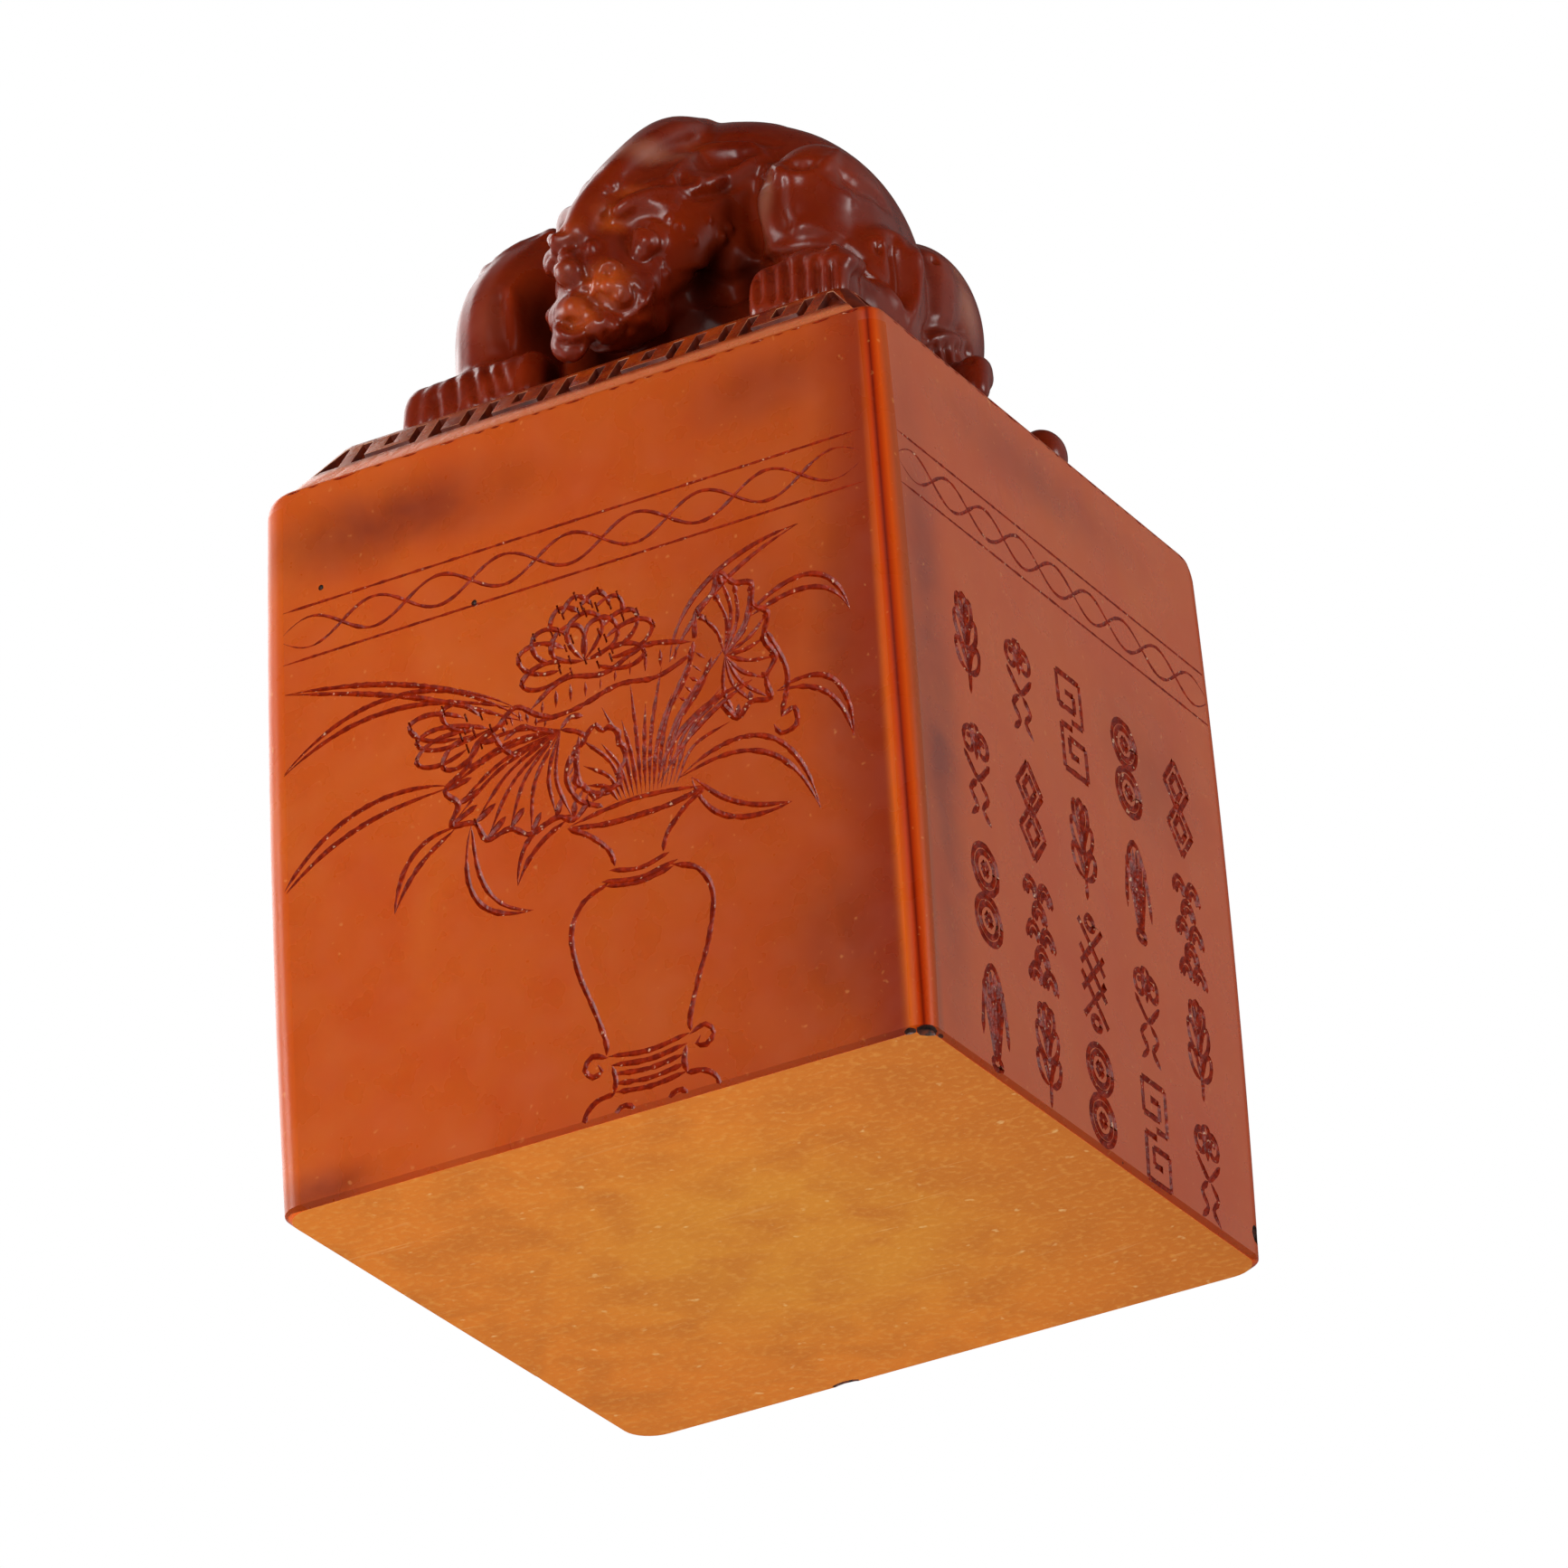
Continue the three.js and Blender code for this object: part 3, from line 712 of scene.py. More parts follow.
def sprig_ornament():
    lines = [([(0, -0.95), (0.06, -0.2), (0, 0.4)], 1.0, 0.1)]
    for y, turn, reach in ((-0.55, 58, 0.95), (-0.1, 52, 0.95), (0.3, 40, 0.75)):
        for hand in (-1, 1):
            lines.append(petal(0, y, reach, breadth=0.2, turn=hand * turn, width=1.0))
    return lines + [petal(0, 0.35, reach=0.62, breadth=0.24, turn=0, width=1.0)]


def coin_ornament():
    lines = []
    for middle in (0.48, -0.48):
        lines += [ring_line(0, middle, 0.88, 0.44), ring_line(0, middle, 0.6, 0.3)]
        hole = [(0.24, middle), (0, middle + 0.13), (-0.24, middle), (0, middle - 0.13)]
        lines += angular(hole + hole[:1])
    return lines


def wave_ornament():
    lines = []
    for y, shift in ((0.62, 0), (0.2, 0.5), (-0.22, 0), (-0.64, 0.5), (-1.02, 0)):
        for x in ((-0.5, 0.5) if shift == 0 else (0.0,)):
            for size in (1.0, 0.55):
                lines.append(ring_line(x, y, 0.48 * size, 0.36 * size, 0, 180))
    return lines


def shell_ornament():
    lines = [ring_line(0, -0.75, 0.9, 1.7, 10, 160)]
    for lean in (-0.75, -0.42, -0.14, 0.14, 0.42, 0.75):
        tip = (0.95 * lean, 0.85 - 0.45 * lean * lean)
        lines.append(([(0.12 * lean, -0.8), (0.6 * lean, 0), tip], 1.0, 0.1))
    return lines + [ring_line(0, -0.86, 0.3, 0.1)]


def knot_ornament():
    lines = []
    for shift in (-0.5, 0, 0.5):
        for rise in (0.42, -0.42):
            lines += angular([(-0.85, shift - rise), (0.85, shift + rise)])
    return lines + [ring_line(0, 0.95, 0.3, 0.12), ring_line(0, -0.95, 0.3, 0.12)]


# The ornaments by column and row, then where these stand on the right face, their half sizes and full line

ORNAMENTS = [
    [sprig_ornament, cloud_ornament, coin_ornament, shell_ornament],
    [cloud_ornament, lozenge_ornament, wave_ornament, sprig_ornament],
    [fret_ornament, sprig_ornament, knot_ornament, coin_ornament],
    [coin_ornament, shell_ornament, cloud_ornament, fret_ornament],
    [lozenge_ornament, wave_ornament, sprig_ornament, cloud_ornament],
]
ORNAMENT_COLUMNS = [-14.9, -7.4, 0.1, 8.05, 15.7]
ORNAMENT_ROWS = [31.65, 22.2, 13.05, 4.1]
ORNAMENT_ACROSS, ORNAMENT_UP = 2.0, 3.9
ORNAMENT_LINE = 0.52


def ornament_lines():
    """The right face's ornaments, in upright columns."""
    lines = []
    for column, ornaments in zip(ORNAMENT_COLUMNS, ORNAMENTS):
        for row, ornament in zip(ORNAMENT_ROWS, ornaments):
            for points, width, taper in ornament():
                placed = [(column + ORNAMENT_ACROSS * x, row + ORNAMENT_UP * y) for x, y in points]
                lines.append((placed, ORNAMENT_LINE * width, taper))
    return lines


# Chips and pits: place and radii in millimetres

CHIPS = [
    ((24.6, -23.7, 0), (0.75, 0.8, 0.42)), ((23.5, -24.3, 0), (0.6, 0.35, 0.28)),
    ((24.9, -22.3, 0), (0.25, 0.5, 0.22)),
    ((-21.5, -24.4, 0), (1.3, 0.3, 0.22)), ((-12, -24.5, 0), (0.6, 0.3, 0.25)),
    ((9, -24.5, 0), (0.8, 0.3, 0.25)), ((25.1, 3, 0), (0.3, 0.8, 0.3)), ((25.1, 14, 0), (0.3, 0.5, 0.3)),
    ((-24.9, 10, 0), (0.3, 0.9, 0.3)), ((-8, 23.9, 0), (1.1, 0.4, 0.3)),
]
PITS = [
    ((24.65, 16.3, 38.7), 0.3), ((24.65, 21.5, 37), 0.26),
    ((24.65, 22.4, 37.3), 0.24), ((24.75, 22.8, 25.8), 0.3),
    ((25, 22.6, 1.9), 0.7), ((-7.4, -23.75, 41.1), 0.22),
    ((-19.4, -23.65, 46), 0.2), ((24.55, -4, 27.4), 0.18),
]


def chip_tools():
    """Blunt nuggets where the stone's edges are chipped, and small round pits."""
    bpy.ops.object.select_all(action="DESELECT")
    tools = bpy.data.collections.new("chips")
    bpy.context.scene.collection.children.link(tools)
    for index, (place, radii) in enumerate(CHIPS + [(place, (r, r, r)) for place, r in PITS]):
        bpy.ops.mesh.primitive_ico_sphere_add(
            subdivisions=2, radius=1, location=[c * MM for c in place], scale=[r * MM for r in radii])
        tool = bpy.context.object
        bpy.ops.object.transform_apply(location=False, rotation=False, scale=True)
        for vertex in tool.data.vertices:
            vertex.co *= 1 + 0.22 * noise.noise(vertex.co / MM * 1.9 + Vector((index * 5.3, 0, 0)))
        bpy.ops.object.transform_apply(location=True, rotation=False, scale=False)
        bpy.context.scene.collection.objects.unlink(tool)
        tools.objects.link(tool)
    return tools


def carve_off(piece, tools, material):
    """Takes every tool's shape off a piece. The fresh surface gets the material."""
    for tool in tools.objects:
        tool.data.materials.append(material)
    apply_modifier(piece, "BOOLEAN", operation="DIFFERENCE", operand_type="COLLECTION", collection=tools,
                   solver="MANIFOLD", material_mode="TRANSFER")
    for tool in list(tools.objects):
        bpy.data.objects.remove(tool)
    bpy.data.collections.remove(tools)


def crisp_borders(piece):
    """Edges between two materials are shaded sharp, so a cut line leaves the flat face round it flat."""
    shape = bmesh.new()
    shape.from_mesh(piece.data)
    for edge in shape.edges:
        if len({face.material_index for face in edge.link_faces}) > 1:
            edge.smooth = False
    shape.to_mesh(piece.data)
    shape.free()


def spot(tree, at, centre, radii):
    """1 at a place on the stone, in millimetres, fading to 0 at the radii round it."""
    shift = add_node(tree, "Mapping", {
        "Vector": at,
        "Location": [-c / r for c, r in zip(centre, radii)],
        "Scale": [1 / (r * MM) for r in radii],
    })
    reach = add_node(tree, "VectorMath", [shift], operation="LENGTH")
    return add_node(tree, "MapRange", [reach, 1.0, 0.0], interpolation_type="SMOOTHSTEP")


def strongest(tree, at, spots):
    """At each point the strongest of several spots, each given by its centre, radii and amount."""
    most = None
    for centre, radii, amount in spots:
        one = add_node(tree, "Math", [spot(tree, at, centre, radii), amount], operation="MULTIPLY")
        most = one if most is None else add_node(tree, "Math", [most, one], operation="MAXIMUM")
    return most


def layered(tree, base, layers):
    """Colours laid over one another, each where its mask is 1."""
    colour = linear(base) if isinstance(base, str) else base
    for mask, shade in layers:
        over = linear(shade) if isinstance(shade, str) else shade
        colour = add_node(tree, "Mix", [mask, colour, over], data_type="RGBA")
    return colour


SOAPSTONE_INDEX = 1.57


def finish_stone(tree, colour, roughness, bumps, strength, specular=0.5, glow=0.0, depths=(0.0, 0.0, 0.0)):
    """Soapstone: a soft stone that takes a wax polish and lets light in, to depths in millimetres."""
    bump = add_node(tree, "Bump", {"Height": bumps, "Strength": strength, "Distance": 0.1 * MM})
    add_node(tree, "OutputMaterial", [add_node(tree, "BsdfPrincipled", {
        "Base Color": colour, "Roughness": roughness, "Normal": bump,
        "IOR": SOAPSTONE_INDEX, "Specular IOR Level": specular,
        "Subsurface Weight": glow, "Subsurface Scale": 1.0,
        "Subsurface Radius": [depth * MM for depth in depths],
    })])


# Brown clouds, the dark band beside the near edge and the painted glow on the thin back edges: centre, radii
# and amount

CLOUDS = [
    ((-14, -24, 49.4), (17, 8, 4.6), 0.95), ((15, -24, 50.6), (9, 8, 4), 0.7),
    ((20.6, -24, 30), (4.2, 8, 22), 0.6),
    ((19, -24, 8), (7, 8, 9), 0.7), ((12, -24, 33), (9, 8, 9), 0.35), ((24, -2, 50), (8, 22, 4), 0.5),
    ((24.6, -20.4, 25), (6, 4.6, 34), 0.9), ((24, 12, 33), (8, 12, 9), 0.4), ((-24, 5, 40), (8, 16, 9), 0.6),
    ((0, 24, 30), (18, 8, 12), 0.6), ((-22, -24, 1), (8, 8, 2.4), 0.9),
]
DARK_BAND = ((20.8, -24, 22), (4.8, 8, 27))
NEAR_EDGE = ((24.9, -24.1, 27), (2.6, 2.6, 400))
PAINTED_GLOW_EDGES = [((24.6, 24, 27), (2.9, 2.9, 70), 0.9), ((-24, 24, 27), (2.9, 2.9, 70), 0.9)]
EDGE_STRIPES = [(0.0, "B04A10"), (0.16, "E0620C"), (0.33, "C83A00"), (0.41, "7A1804"), (0.47, "B83204"),
                (0.6, "D85212"), (0.8, "B04C22"), (1.0, "A65430")]


def edge_stripes(tree, x, y):
    """Upright streaks that follow the near edge round its curve: painted glow in the light ones, dark red in
    the dark ones.
    """
    round_edge = add_node(tree, "Math", [x, y], operation="ADD")
    ramp = add_node(tree, "ValToRGB", [add_node(tree, "MapRange", [round_edge, -1.2 * MM, 2.8 * MM])])
    stops = ramp.color_ramp.elements
    stops.remove(stops[1])
    for place, shade in EDGE_STRIPES:
        stop = stops.new(place) if place > 0 else stops[0]
        stop.color = linear(shade)
    return ramp


def amber_stone(settings, name, specular):
    """Amber soapstone, ground flat and wax-polished: even orange and drifting brown clouds, with painted
    shade towards the front face's right and painted glow on the edges.
    """
    material, tree, at = fresh_material(name)
    x, y, _ = add_node(tree, "SeparateXYZ", [at]).outputs
    drift = add_node(tree, "TexNoise", {"Vector": at, "Scale": 1 / (9 * MM), "Detail": 4, "Distortion": 0.6})
    painted_shade_to_right = add_node(tree, "MapRange", [x, -12 * MM, 26 * MM, 0.0, 0.7])
    near_front = add_node(tree, "MapRange", [y, -24 * MM, -22 * MM, 1.0, 0.15])
    veil = add_node(tree, "TexNoise", {"Vector": at, "Scale": 1 / (7 * MM), "Detail": 4, "Distortion": 0.8})
    wisps = add_node(tree, "MapRange", [veil, 0.25, 0.7, 0.35, 1.0])
    band = add_node(tree, "MapRange", [spot(tree, at, *DARK_BAND), 0.0, 0.4, 0.0, 0.85])
    unbroken = add_node(tree, "Math", [wisps, band], operation="MAXIMUM")
    clouds = add_node(tree, "Math", [strongest(tree, at, CLOUDS), unbroken], operation="MULTIPLY")
    beside_edge = add_node(tree, "MapRange", [x, 19.2 * MM, 22.6 * MM, 0.0, 0.8])
    on_front_face = add_node(tree, "MapRange", [y, -23.6 * MM, -22.6 * MM, 1.0, 0.0])
    specks = add_node(tree, "TexNoise", [at, 1 / (0.55 * MM), 1])
    colour = layered(tree, settings.amber, [
        (add_node(tree, "MapRange", [drift, 0.3, 0.7]), "D25E18"),
        # Painted shade: the front face darker towards its right, as if lit from the left
        (add_node(tree, "Math", [painted_shade_to_right, near_front], operation="MULTIPLY"), "A03A0C"),
        (clouds, settings.cloud),
        (add_node(tree, "Math", [beside_edge, on_front_face], operation="MULTIPLY"), "8F2706"),
        # Painted glow on the thin back edges
        (strongest(tree, at, PAINTED_GLOW_EDGES), settings.edge),
        # Painted glow: light streaks along the near edge's curve, with dark streaks between
        (add_node(tree, "MapRange", [spot(tree, at, *NEAR_EDGE), 0.15, 0.5]), edge_stripes(tree, x, y)),
        (add_node(tree, "MapRange", [specks, 0.72, 0.8, 0.0, 0.35]), "E79A55"),
    ])
    rubbing = add_node(tree, "TexNoise", [at, 1 / (3 * MM), 3])
    roughness = add_node(tree, "MapRange", [rubbing, 0.3, 0.7, 0.24, 0.34])
    swells = add_node(tree, "TexNoise", [at, 1 / (6 * MM), 3])
    grit = add_node(tree, "TexNoise", [at, 1 / (0.5 * MM), 2])
    bumps = add_node(tree, "Math", [grit, 0.12, swells], operation="MULTIPLY_ADD")
    finish_stone(tree, colour, roughness, bumps, strength=0.35, specular=specular,
                 glow=0.12, depths=(1.2, 0.35, 0.1))
    return material


def cut_stone(settings):
    """The inside of engraved lines: fresh stone, dark with beads of the wax and ink paste left in them, and
    painted glints of light on them.
    """
    material, tree, at = fresh_material("waxed_engraved_lines")
    beads = add_node(tree, "TexNoise", [at, 1 / (0.45 * MM), 2])
    painted_glints = add_node(tree, "TexNoise", [at, 1 / (0.32 * MM), 1])
    colour = layered(tree, settings.cut, [
        (add_node(tree, "MapRange", [beads, 0.4, 0.7]), "AC2C02"),
        # Painted glints: pale highlight dots on the lines
        (add_node(tree, "MapRange", [painted_glints, 0.68, 0.76, 0.0, 0.7]), "F4C4A0"),
    ])
    finish_stone(tree, colour, roughness=0.3, bumps=beads, strength=0.7, specular=0.12)
    return material


def ground_stone(settings):
    """The printing face, ground on wet abrasive: matt, sugary ochre with pale flecks and fine scratches."""
    material, tree, at = fresh_material("ground_amber_soapstone")
    x = add_node(tree, "SeparateXYZ", [at]).outputs["X"]
    mottle = add_node(tree, "TexNoise", {"Vector": at, "Scale": 1 / (5 * MM), "Detail": 5, "Distortion": 0.5})
    sugar = add_node(tree, "TexNoise", [at, 1 / (0.6 * MM), 4])
    flecks = add_node(tree, "TexNoise", [at, 1 / (1.1 * MM), 2])
    strokes = add_node(tree, "Mapping", {"Vector": at, "Rotation": (0, 0, 0.5), "Scale": (0.1, 1, 1)})
    grit = add_node(tree, "TexNoise", {
        "Vector": strokes, "Scale": 1 / (0.8 * MM), "Detail": 5, "Distortion": 1.0,
    })
    scratches = add_node(tree, "MapRange", [grit, 0.66, 0.8])
    colour = layered(tree, "CE721E", [
        (add_node(tree, "MapRange", [spot(tree, at, (2, 0, 0), (27, 27, 27)), 0.0, 0.75]), settings.ground),
        (add_node(tree, "MapRange", [x, 6 * MM, 26 * MM, 0.0, 0.8]), "B0601A"),
        (add_node(tree, "MapRange", [mottle, 0.42, 0.7, 0.0, 0.65]), "B4621A"),
        (add_node(tree, "MapRange", [sugar, 0.5, 0.75, 0.0, 0.35]), "E0A04C"),
        (add_node(tree, "MapRange", [flecks, 0.68, 0.78, 0.0, 0.45]), "F0CC88"),
        (add_node(tree, "Math", [scratches, 0.35], operation="MULTIPLY"), "EDBE78"),
    ])
    bumps = add_node(tree, "Math", [scratches, 0.4, sugar], operation="MULTIPLY_ADD")
    finish_stone(tree, colour, roughness=0.72, bumps=bumps, strength=0.4, specular=0.25)
    return material


def chipped_stone():
    """Broken edges where ink paste has darkened the rough stone nearly to black."""
    material, tree, at = fresh_material("ink_stained_chips")
    crumbs = add_node(tree, "TexNoise", [at, 1 / (0.4 * MM), 3])
    colour = layered(tree, "1C0E0A", [(add_node(tree, "MapRange", [crumbs, 0.4, 0.62]), "5A2410")])
    finish_stone(tree, colour, roughness=0.5, bumps=crumbs, strength=0.9)
    return material


def scribed_dashes(start, end, z, seed):
    """The broken line that was scribed along the rim before the shoulder was cut."""
    lines = []
    place = start
    while place < end:
        chance = noise.noise(Vector((place * 0.9, seed, 0)))
        reach = 0.8 + 2.4 * abs(chance)
        lines.append(([(place, z), (place + reach / 2, z + 0.05 * chance), (place + reach, z)], 0.26, 0.3))
        place += reach + 0.35 + 2.2 * abs(noise.noise(Vector((place * 1.3, seed, 4))))
    return lines


# A crack beside the near upright edge

CRACK = [([(23.95, 51.4), (23.88, 49.6), (24.0, 47.8), (23.86, 46.3)], 0.34, 0.2),
         ([(23.9, 46), (23.84, 43.5), (23.9, 41)], 0.16, 0.3)]


class SEAL_OT_block(bpy.types.Operator):
    """Shapes the stone block, engraves its two pictured sides and wears its edges"""

    bl_idname = "seal.block"
    bl_label = "Engraved block"

    def execute(self, context):
        settings = context.scene.seal_block
        block = rough_block(settings.corner, settings.near_corner)
        block.name = block.data.name = "engraved_block"
        block.data.materials.append(amber_stone(settings, "polished_amber_soapstone", specular=0.45))
        block.data.materials.append(ground_stone(settings))
        block.data.materials.append(amber_stone(settings, "worn_amber_edge", specular=0.12))
        for face in block.data.polygons:
            on_corner = abs(face.normal.x) > 0.03 and abs(face.normal.y) > 0.03
            if face.center.z < PRINTING_LEVEL * MM:
                face.material_index = 1
            elif on_corner and face.center.z < WORN_CORNER_TOP * MM:
                face.material_index = 2
        cut = cut_stone(settings)
        width = settings.line_width / FULL_LINE
        front = braid(-23, 22.9, low=40.9, high=44.9, pitch=5.14) + bouquet_lines()
        front += scribed_dashes(-22, 22.4, 54.02, seed=1) + CRACK
        right = braid(-22.8, 23.4, low=40.8, high=44.8, pitch=5.05) + ornament_lines()
        right += scribed_dashes(-21, 21.8, 53.85, seed=7)
        carve_off(block, cut_lines("front_gravers", front, on_front, Vector((0, -1, 0)), width), cut)
        carve_off(block, cut_lines("right_gravers", right, on_right, Vector((1, 0, 0)), width), cut)
        carve_off(block, chip_tools(), chipped_stone())
        activate(block)
        bpy.ops.object.shade_smooth_by_angle(angle=math.radians(32))
        crisp_borders(block)
        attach(block, "root")
        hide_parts("seal_block")
        return {"FINISHED"}


# The lion: its masses and limbs, measured from the platform's front edge on the lion's middle line

LION_PLACE = (2, -19.7, 57.8)
HEAD_ACROSS, HEAD_BACK = -1.3, 7.1
FOOT_LEVEL = 58.4


def on_platform(*place):
    """A place on the lion as a point of the seal."""
    return Vector([start + step for start, step in zip(LION_PLACE, place)])


def in_head(across, back, up, *radius):
    """A place on the head, or a place and a radius there, as one on the lion."""
    return (across + HEAD_ACROSS, back + HEAD_BACK, up, *radius)


# Balls: centre, radii and tilt in degrees

BALLS = [
    ((0.4, 16.2, 10), (15.2, 10.5, 15.7), 0), ((-0.5, 27.7, 8), (13.5, 11.5, 13), 0),
    (in_head(1.7, 0.6, 13.2), (6.4, 5.8, 8), -33), (in_head(0.4, -4.1, 8), (4.2, 4.0, 4.7), -20),
    (in_head(-1.25, -7.5, 5.2), (1.25, 1.25, 1.25), 0), (in_head(-1.65, -7.3, 2.95), (1.4, 1.3, 1.4), 0),
    (in_head(3.65, -5.0, 10.1), (1.55, 1.55, 1.55), 0), (in_head(-2.9, -5.2, 10.6), (1.5, 1.5, 1.5), 0),
    (in_head(0.75, -7.1, 9.8), (0.9, 0.9, 0.8), 0), (in_head(-1.95, -7.3, 11.05), (1.0, 1.0, 0.95), 0),
    (in_head(-1.0, -7.3, 8.6), (1.45, 1.4, 1.6), 0), (in_head(2.25, -6.6, 6.05), (1.5, 1.4, 1.45), 0),
    (in_head(2.7, -5.5, 5.2), (1.5, 1.5, 1.5), 0), (in_head(-2.2, -6.3, 5.6), (1.5, 1.4, 1.5), 0),
    (in_head(0.9, -7.4, 6.8), (0.95, 0.95, 0.95), 0), (in_head(0.6, -6.6, 4.0), (1.5, 1.4, 1.4), 0),
    ((11.2, 12.7, 11.2), (4.6, 6.8, 8), 12), ((14, 3.9, 3), (3.3, 3.1, 3.4), 0),
    ((-11.3, 3.9, 2.4), (4.8, 3.3, 3.2), 0),
    ((10.4, 25.4, 10.3), (4.8, 6.1, 7.8), -15), ((-10.4, 25.4, 10.3), (4.8, 6.1, 7.8), -15),
    ((14.6, 22.6, 2), (2.6, 3, 2.7), 0), ((-14, 22.6, 2), (2.6, 3, 2.7), 0),
    ((15.8, 33.6, 2.8), (1.9, 1.9, 2.2), 0),
]

# Limbs: stations of a place and a radius

LIMBS = [
    [in_head(-0.6, -6.9, 11.2, 1.4), in_head(-0.1, -5.6, 13.6, 1.6), in_head(1.1, -2.6, 16.6, 2.4),
     in_head(2, 2, 21.2, 2.45), in_head(2.2, 6.6, 23.4, 2.45)],
    [(14.2, 12.1, 8, 3.9), (14.9, 11.3, 3.1, 3.0), (14.6, 7.3, 3.2, 2.75)],
    [(-9.8, 10.1, 13.4, 4.6), (-11, 6.9, 9.9, 4.2), (-11.5, 5.3, 3, 3.3)],
    [(11.7, 23.1, 12.6, 3.57), (11.9, 22.1, 6.6, 3.57), (13.8, 23.4, 2.6, 2.94)],
    [(-11.7, 23.1, 12.6, 3.57), (-11.9, 22.1, 6.6, 3.57), (-13.2, 23.4, 2.6, 2.94)],
    [(0, 37.3, 8, 2.0), (6, 38.1, 4.2, 1.85), (12.4, 37.1, 2.7, 1.85), (15.8, 33.9, 2.6, 1.7)],
    [in_head(2.2, -5.4, 13, 0.8), in_head(4.1, -4, 14.3, 1.1), in_head(6.6, -1.6, 14, 0.9)],
    [in_head(-1, -6, 13.3, 0.8), in_head(-2.6, -4.3, 14.3, 1.0), in_head(-4.6, -1.6, 14, 0.9)],
]
for hand in (-1, 1):
    LIMBS.append([
        in_head(0.6 + 3.4 * hand, 1.35, 18.2, 1.3), in_head(0.6 + 4.9 * hand, 4.05, 20.2, 2.1),
        in_head(0.6 + 6.4 * hand, 8.1, 22.3, 1.3),
    ])

# Paws: across, back, height, width, turn, fan and number of toes

PAWS = [(14, 4.7, 4.6, 6.6, 0.06, 0.35, 6), (-11.3, 4.7, 4.1, 9.6, -0.12, 0.6, 8),
        (14.6, 22.6, 3.8, 6.6, 0.2, 0.4, 4), (-14, 22.6, 3.8, 6.6, -0.25, 0.6, 4)]


def toe_limbs():
    """The toes, each a short limb bent down to the platform."""
    limbs = []
    for across, back, height, width, turn, fan, count in PAWS:
        for i in range(count):
            share = i / (count - 1) - 0.5
            angle = turn + share * fan
            stations = []
            for ahead, up, radius in ((0.3, height, 1.2), (2.7, height * 0.82, 1.25), (3.5, 1.2, 1.05)):
                stations.append((across + share * (width - 2.4) + math.sin(angle) * ahead,
                                 back - math.cos(angle) * ahead, up, radius))
            limbs.append(stations)
    return limbs


# A limb is swept from rings of this many sides, and its domed end rises through these latitudes

LIMB_SIDES = 16
END_DOME = [0, 28, 55, 80]


def sweep(shape, stations):
    """A round limb through its stations, with domed ends."""
    line = smooth_line([(*on_platform(*s[:3]), s[3]) for s in stations], 0.5)
    centres = [Vector(p[:3].tolist()) for p in line]
    radii = [float(p[3]) for p in line]
    rings = []
    side = None
    for i, centre in enumerate(centres):
        along = (centres[min(i + 1, len(line) - 1)] - centres[max(i - 1, 0)]).normalized()
        upright = along.orthogonal() if side is None else side - along * side.dot(along)
        side = upright.normalized()
        other = along.cross(side)
        domes = [0.0]
        if i == 0:
            domes = [-latitude for latitude in reversed(END_DOME)]
        elif i == len(line) - 1:
            domes = END_DOME
        for dome in domes:
            lift = math.radians(dome)
            middle = centre + along * radii[i] * math.sin(lift)
            reach = radii[i] * math.cos(lift)
            turns = [2 * math.pi * k / LIMB_SIDES for k in range(LIMB_SIDES)]
            rings.append([
                shape.verts.new((middle + reach * (side * math.cos(turn) + other * math.sin(turn))) * MM)
                for turn in turns
            ])
    for low, high in zip(rings, rings[1:]):
        for k in range(LIMB_SIDES):
            j = (k + 1) % LIMB_SIDES
            shape.faces.new((low[k], low[j], high[j], high[k]))
    shape.faces.new(rings[0][::-1])
    shape.faces.new(rings[-1])


def roughed_lion(grain):
    """The lion before its details: balls and limbs fused into one skin."""
    bpy.ops.object.select_all(action="DESELECT")
    centre, radii, _ = BALLS[0]
    bpy.ops.mesh.primitive_uv_sphere_add(
        segments=64, ring_count=40, radius=1,
        location=on_platform(*centre) * MM, scale=[r * MM for r in radii])
    lion = bpy.context.object
    bpy.ops.object.transform_apply(location=True, rotation=True, scale=True)
    bpy.ops.object.mode_set(mode="EDIT")
    for centre, radii, tilt in BALLS[1:]:
        fine = 48 if max(radii) > 4 else 24
        bpy.ops.mesh.primitive_uv_sphere_add(
            segments=fine, ring_count=fine * 2 // 3, radius=1, location=on_platform(*centre) * MM,
            rotation=(math.radians(tilt), 0, 0), scale=[r * MM for r in radii])
    bpy.ops.object.mode_set(mode="OBJECT")
    shape = bmesh.new()
    shape.from_mesh(lion.data)
    for stations in LIMBS + toe_limbs():
        sweep(shape, stations)
    shape.to_mesh(lion.data)
    shape.free()
    apply_modifier(lion, "REMESH", mode="VOXEL", voxel_size=grain)
    return lion


def level_foot(lion):
    """Cuts the lion off level, a hair inside the platform that it sits on."""
    activate(lion)
    bpy.ops.object.mode_set(mode="EDIT")
    bpy.ops.mesh.select_all(action="SELECT")
    bpy.ops.mesh.bisect(plane_co=(0, 0, FOOT_LEVEL * MM), plane_no=(0, 0, 1), use_fill=True, clear_inner=True)
    bpy.ops.object.mode_set(mode="OBJECT")


# Strokes on the lion are (points, half width, height, what they are mirrored on), in millimetres. A point of
# two numbers is across and down the camera's view, and one of three is across, back and up on the platform.

def circle(across, down, radius, start=0, turn=360):
    """A ring or an arc in the view."""
    count = max(6, int(abs(turn) / 30))
    return [(across + radius * math.cos(math.radians(start + turn * i / count)),
             down + radius * math.sin(math.radians(start + turn * i / count))) for i in range(count + 1)]


def coil(across, down, radius, start, turns):
    """A spiral line that winds in."""
    count = int(turns * 12)
    line = []
    for i in range(count + 1):
        reach = radius * (1 - 0.85 * i / count)
        turn = math.radians(start + 30 * i)
        line.append((across + reach * math.cos(turn), down + reach * math.sin(turn)))
    return line
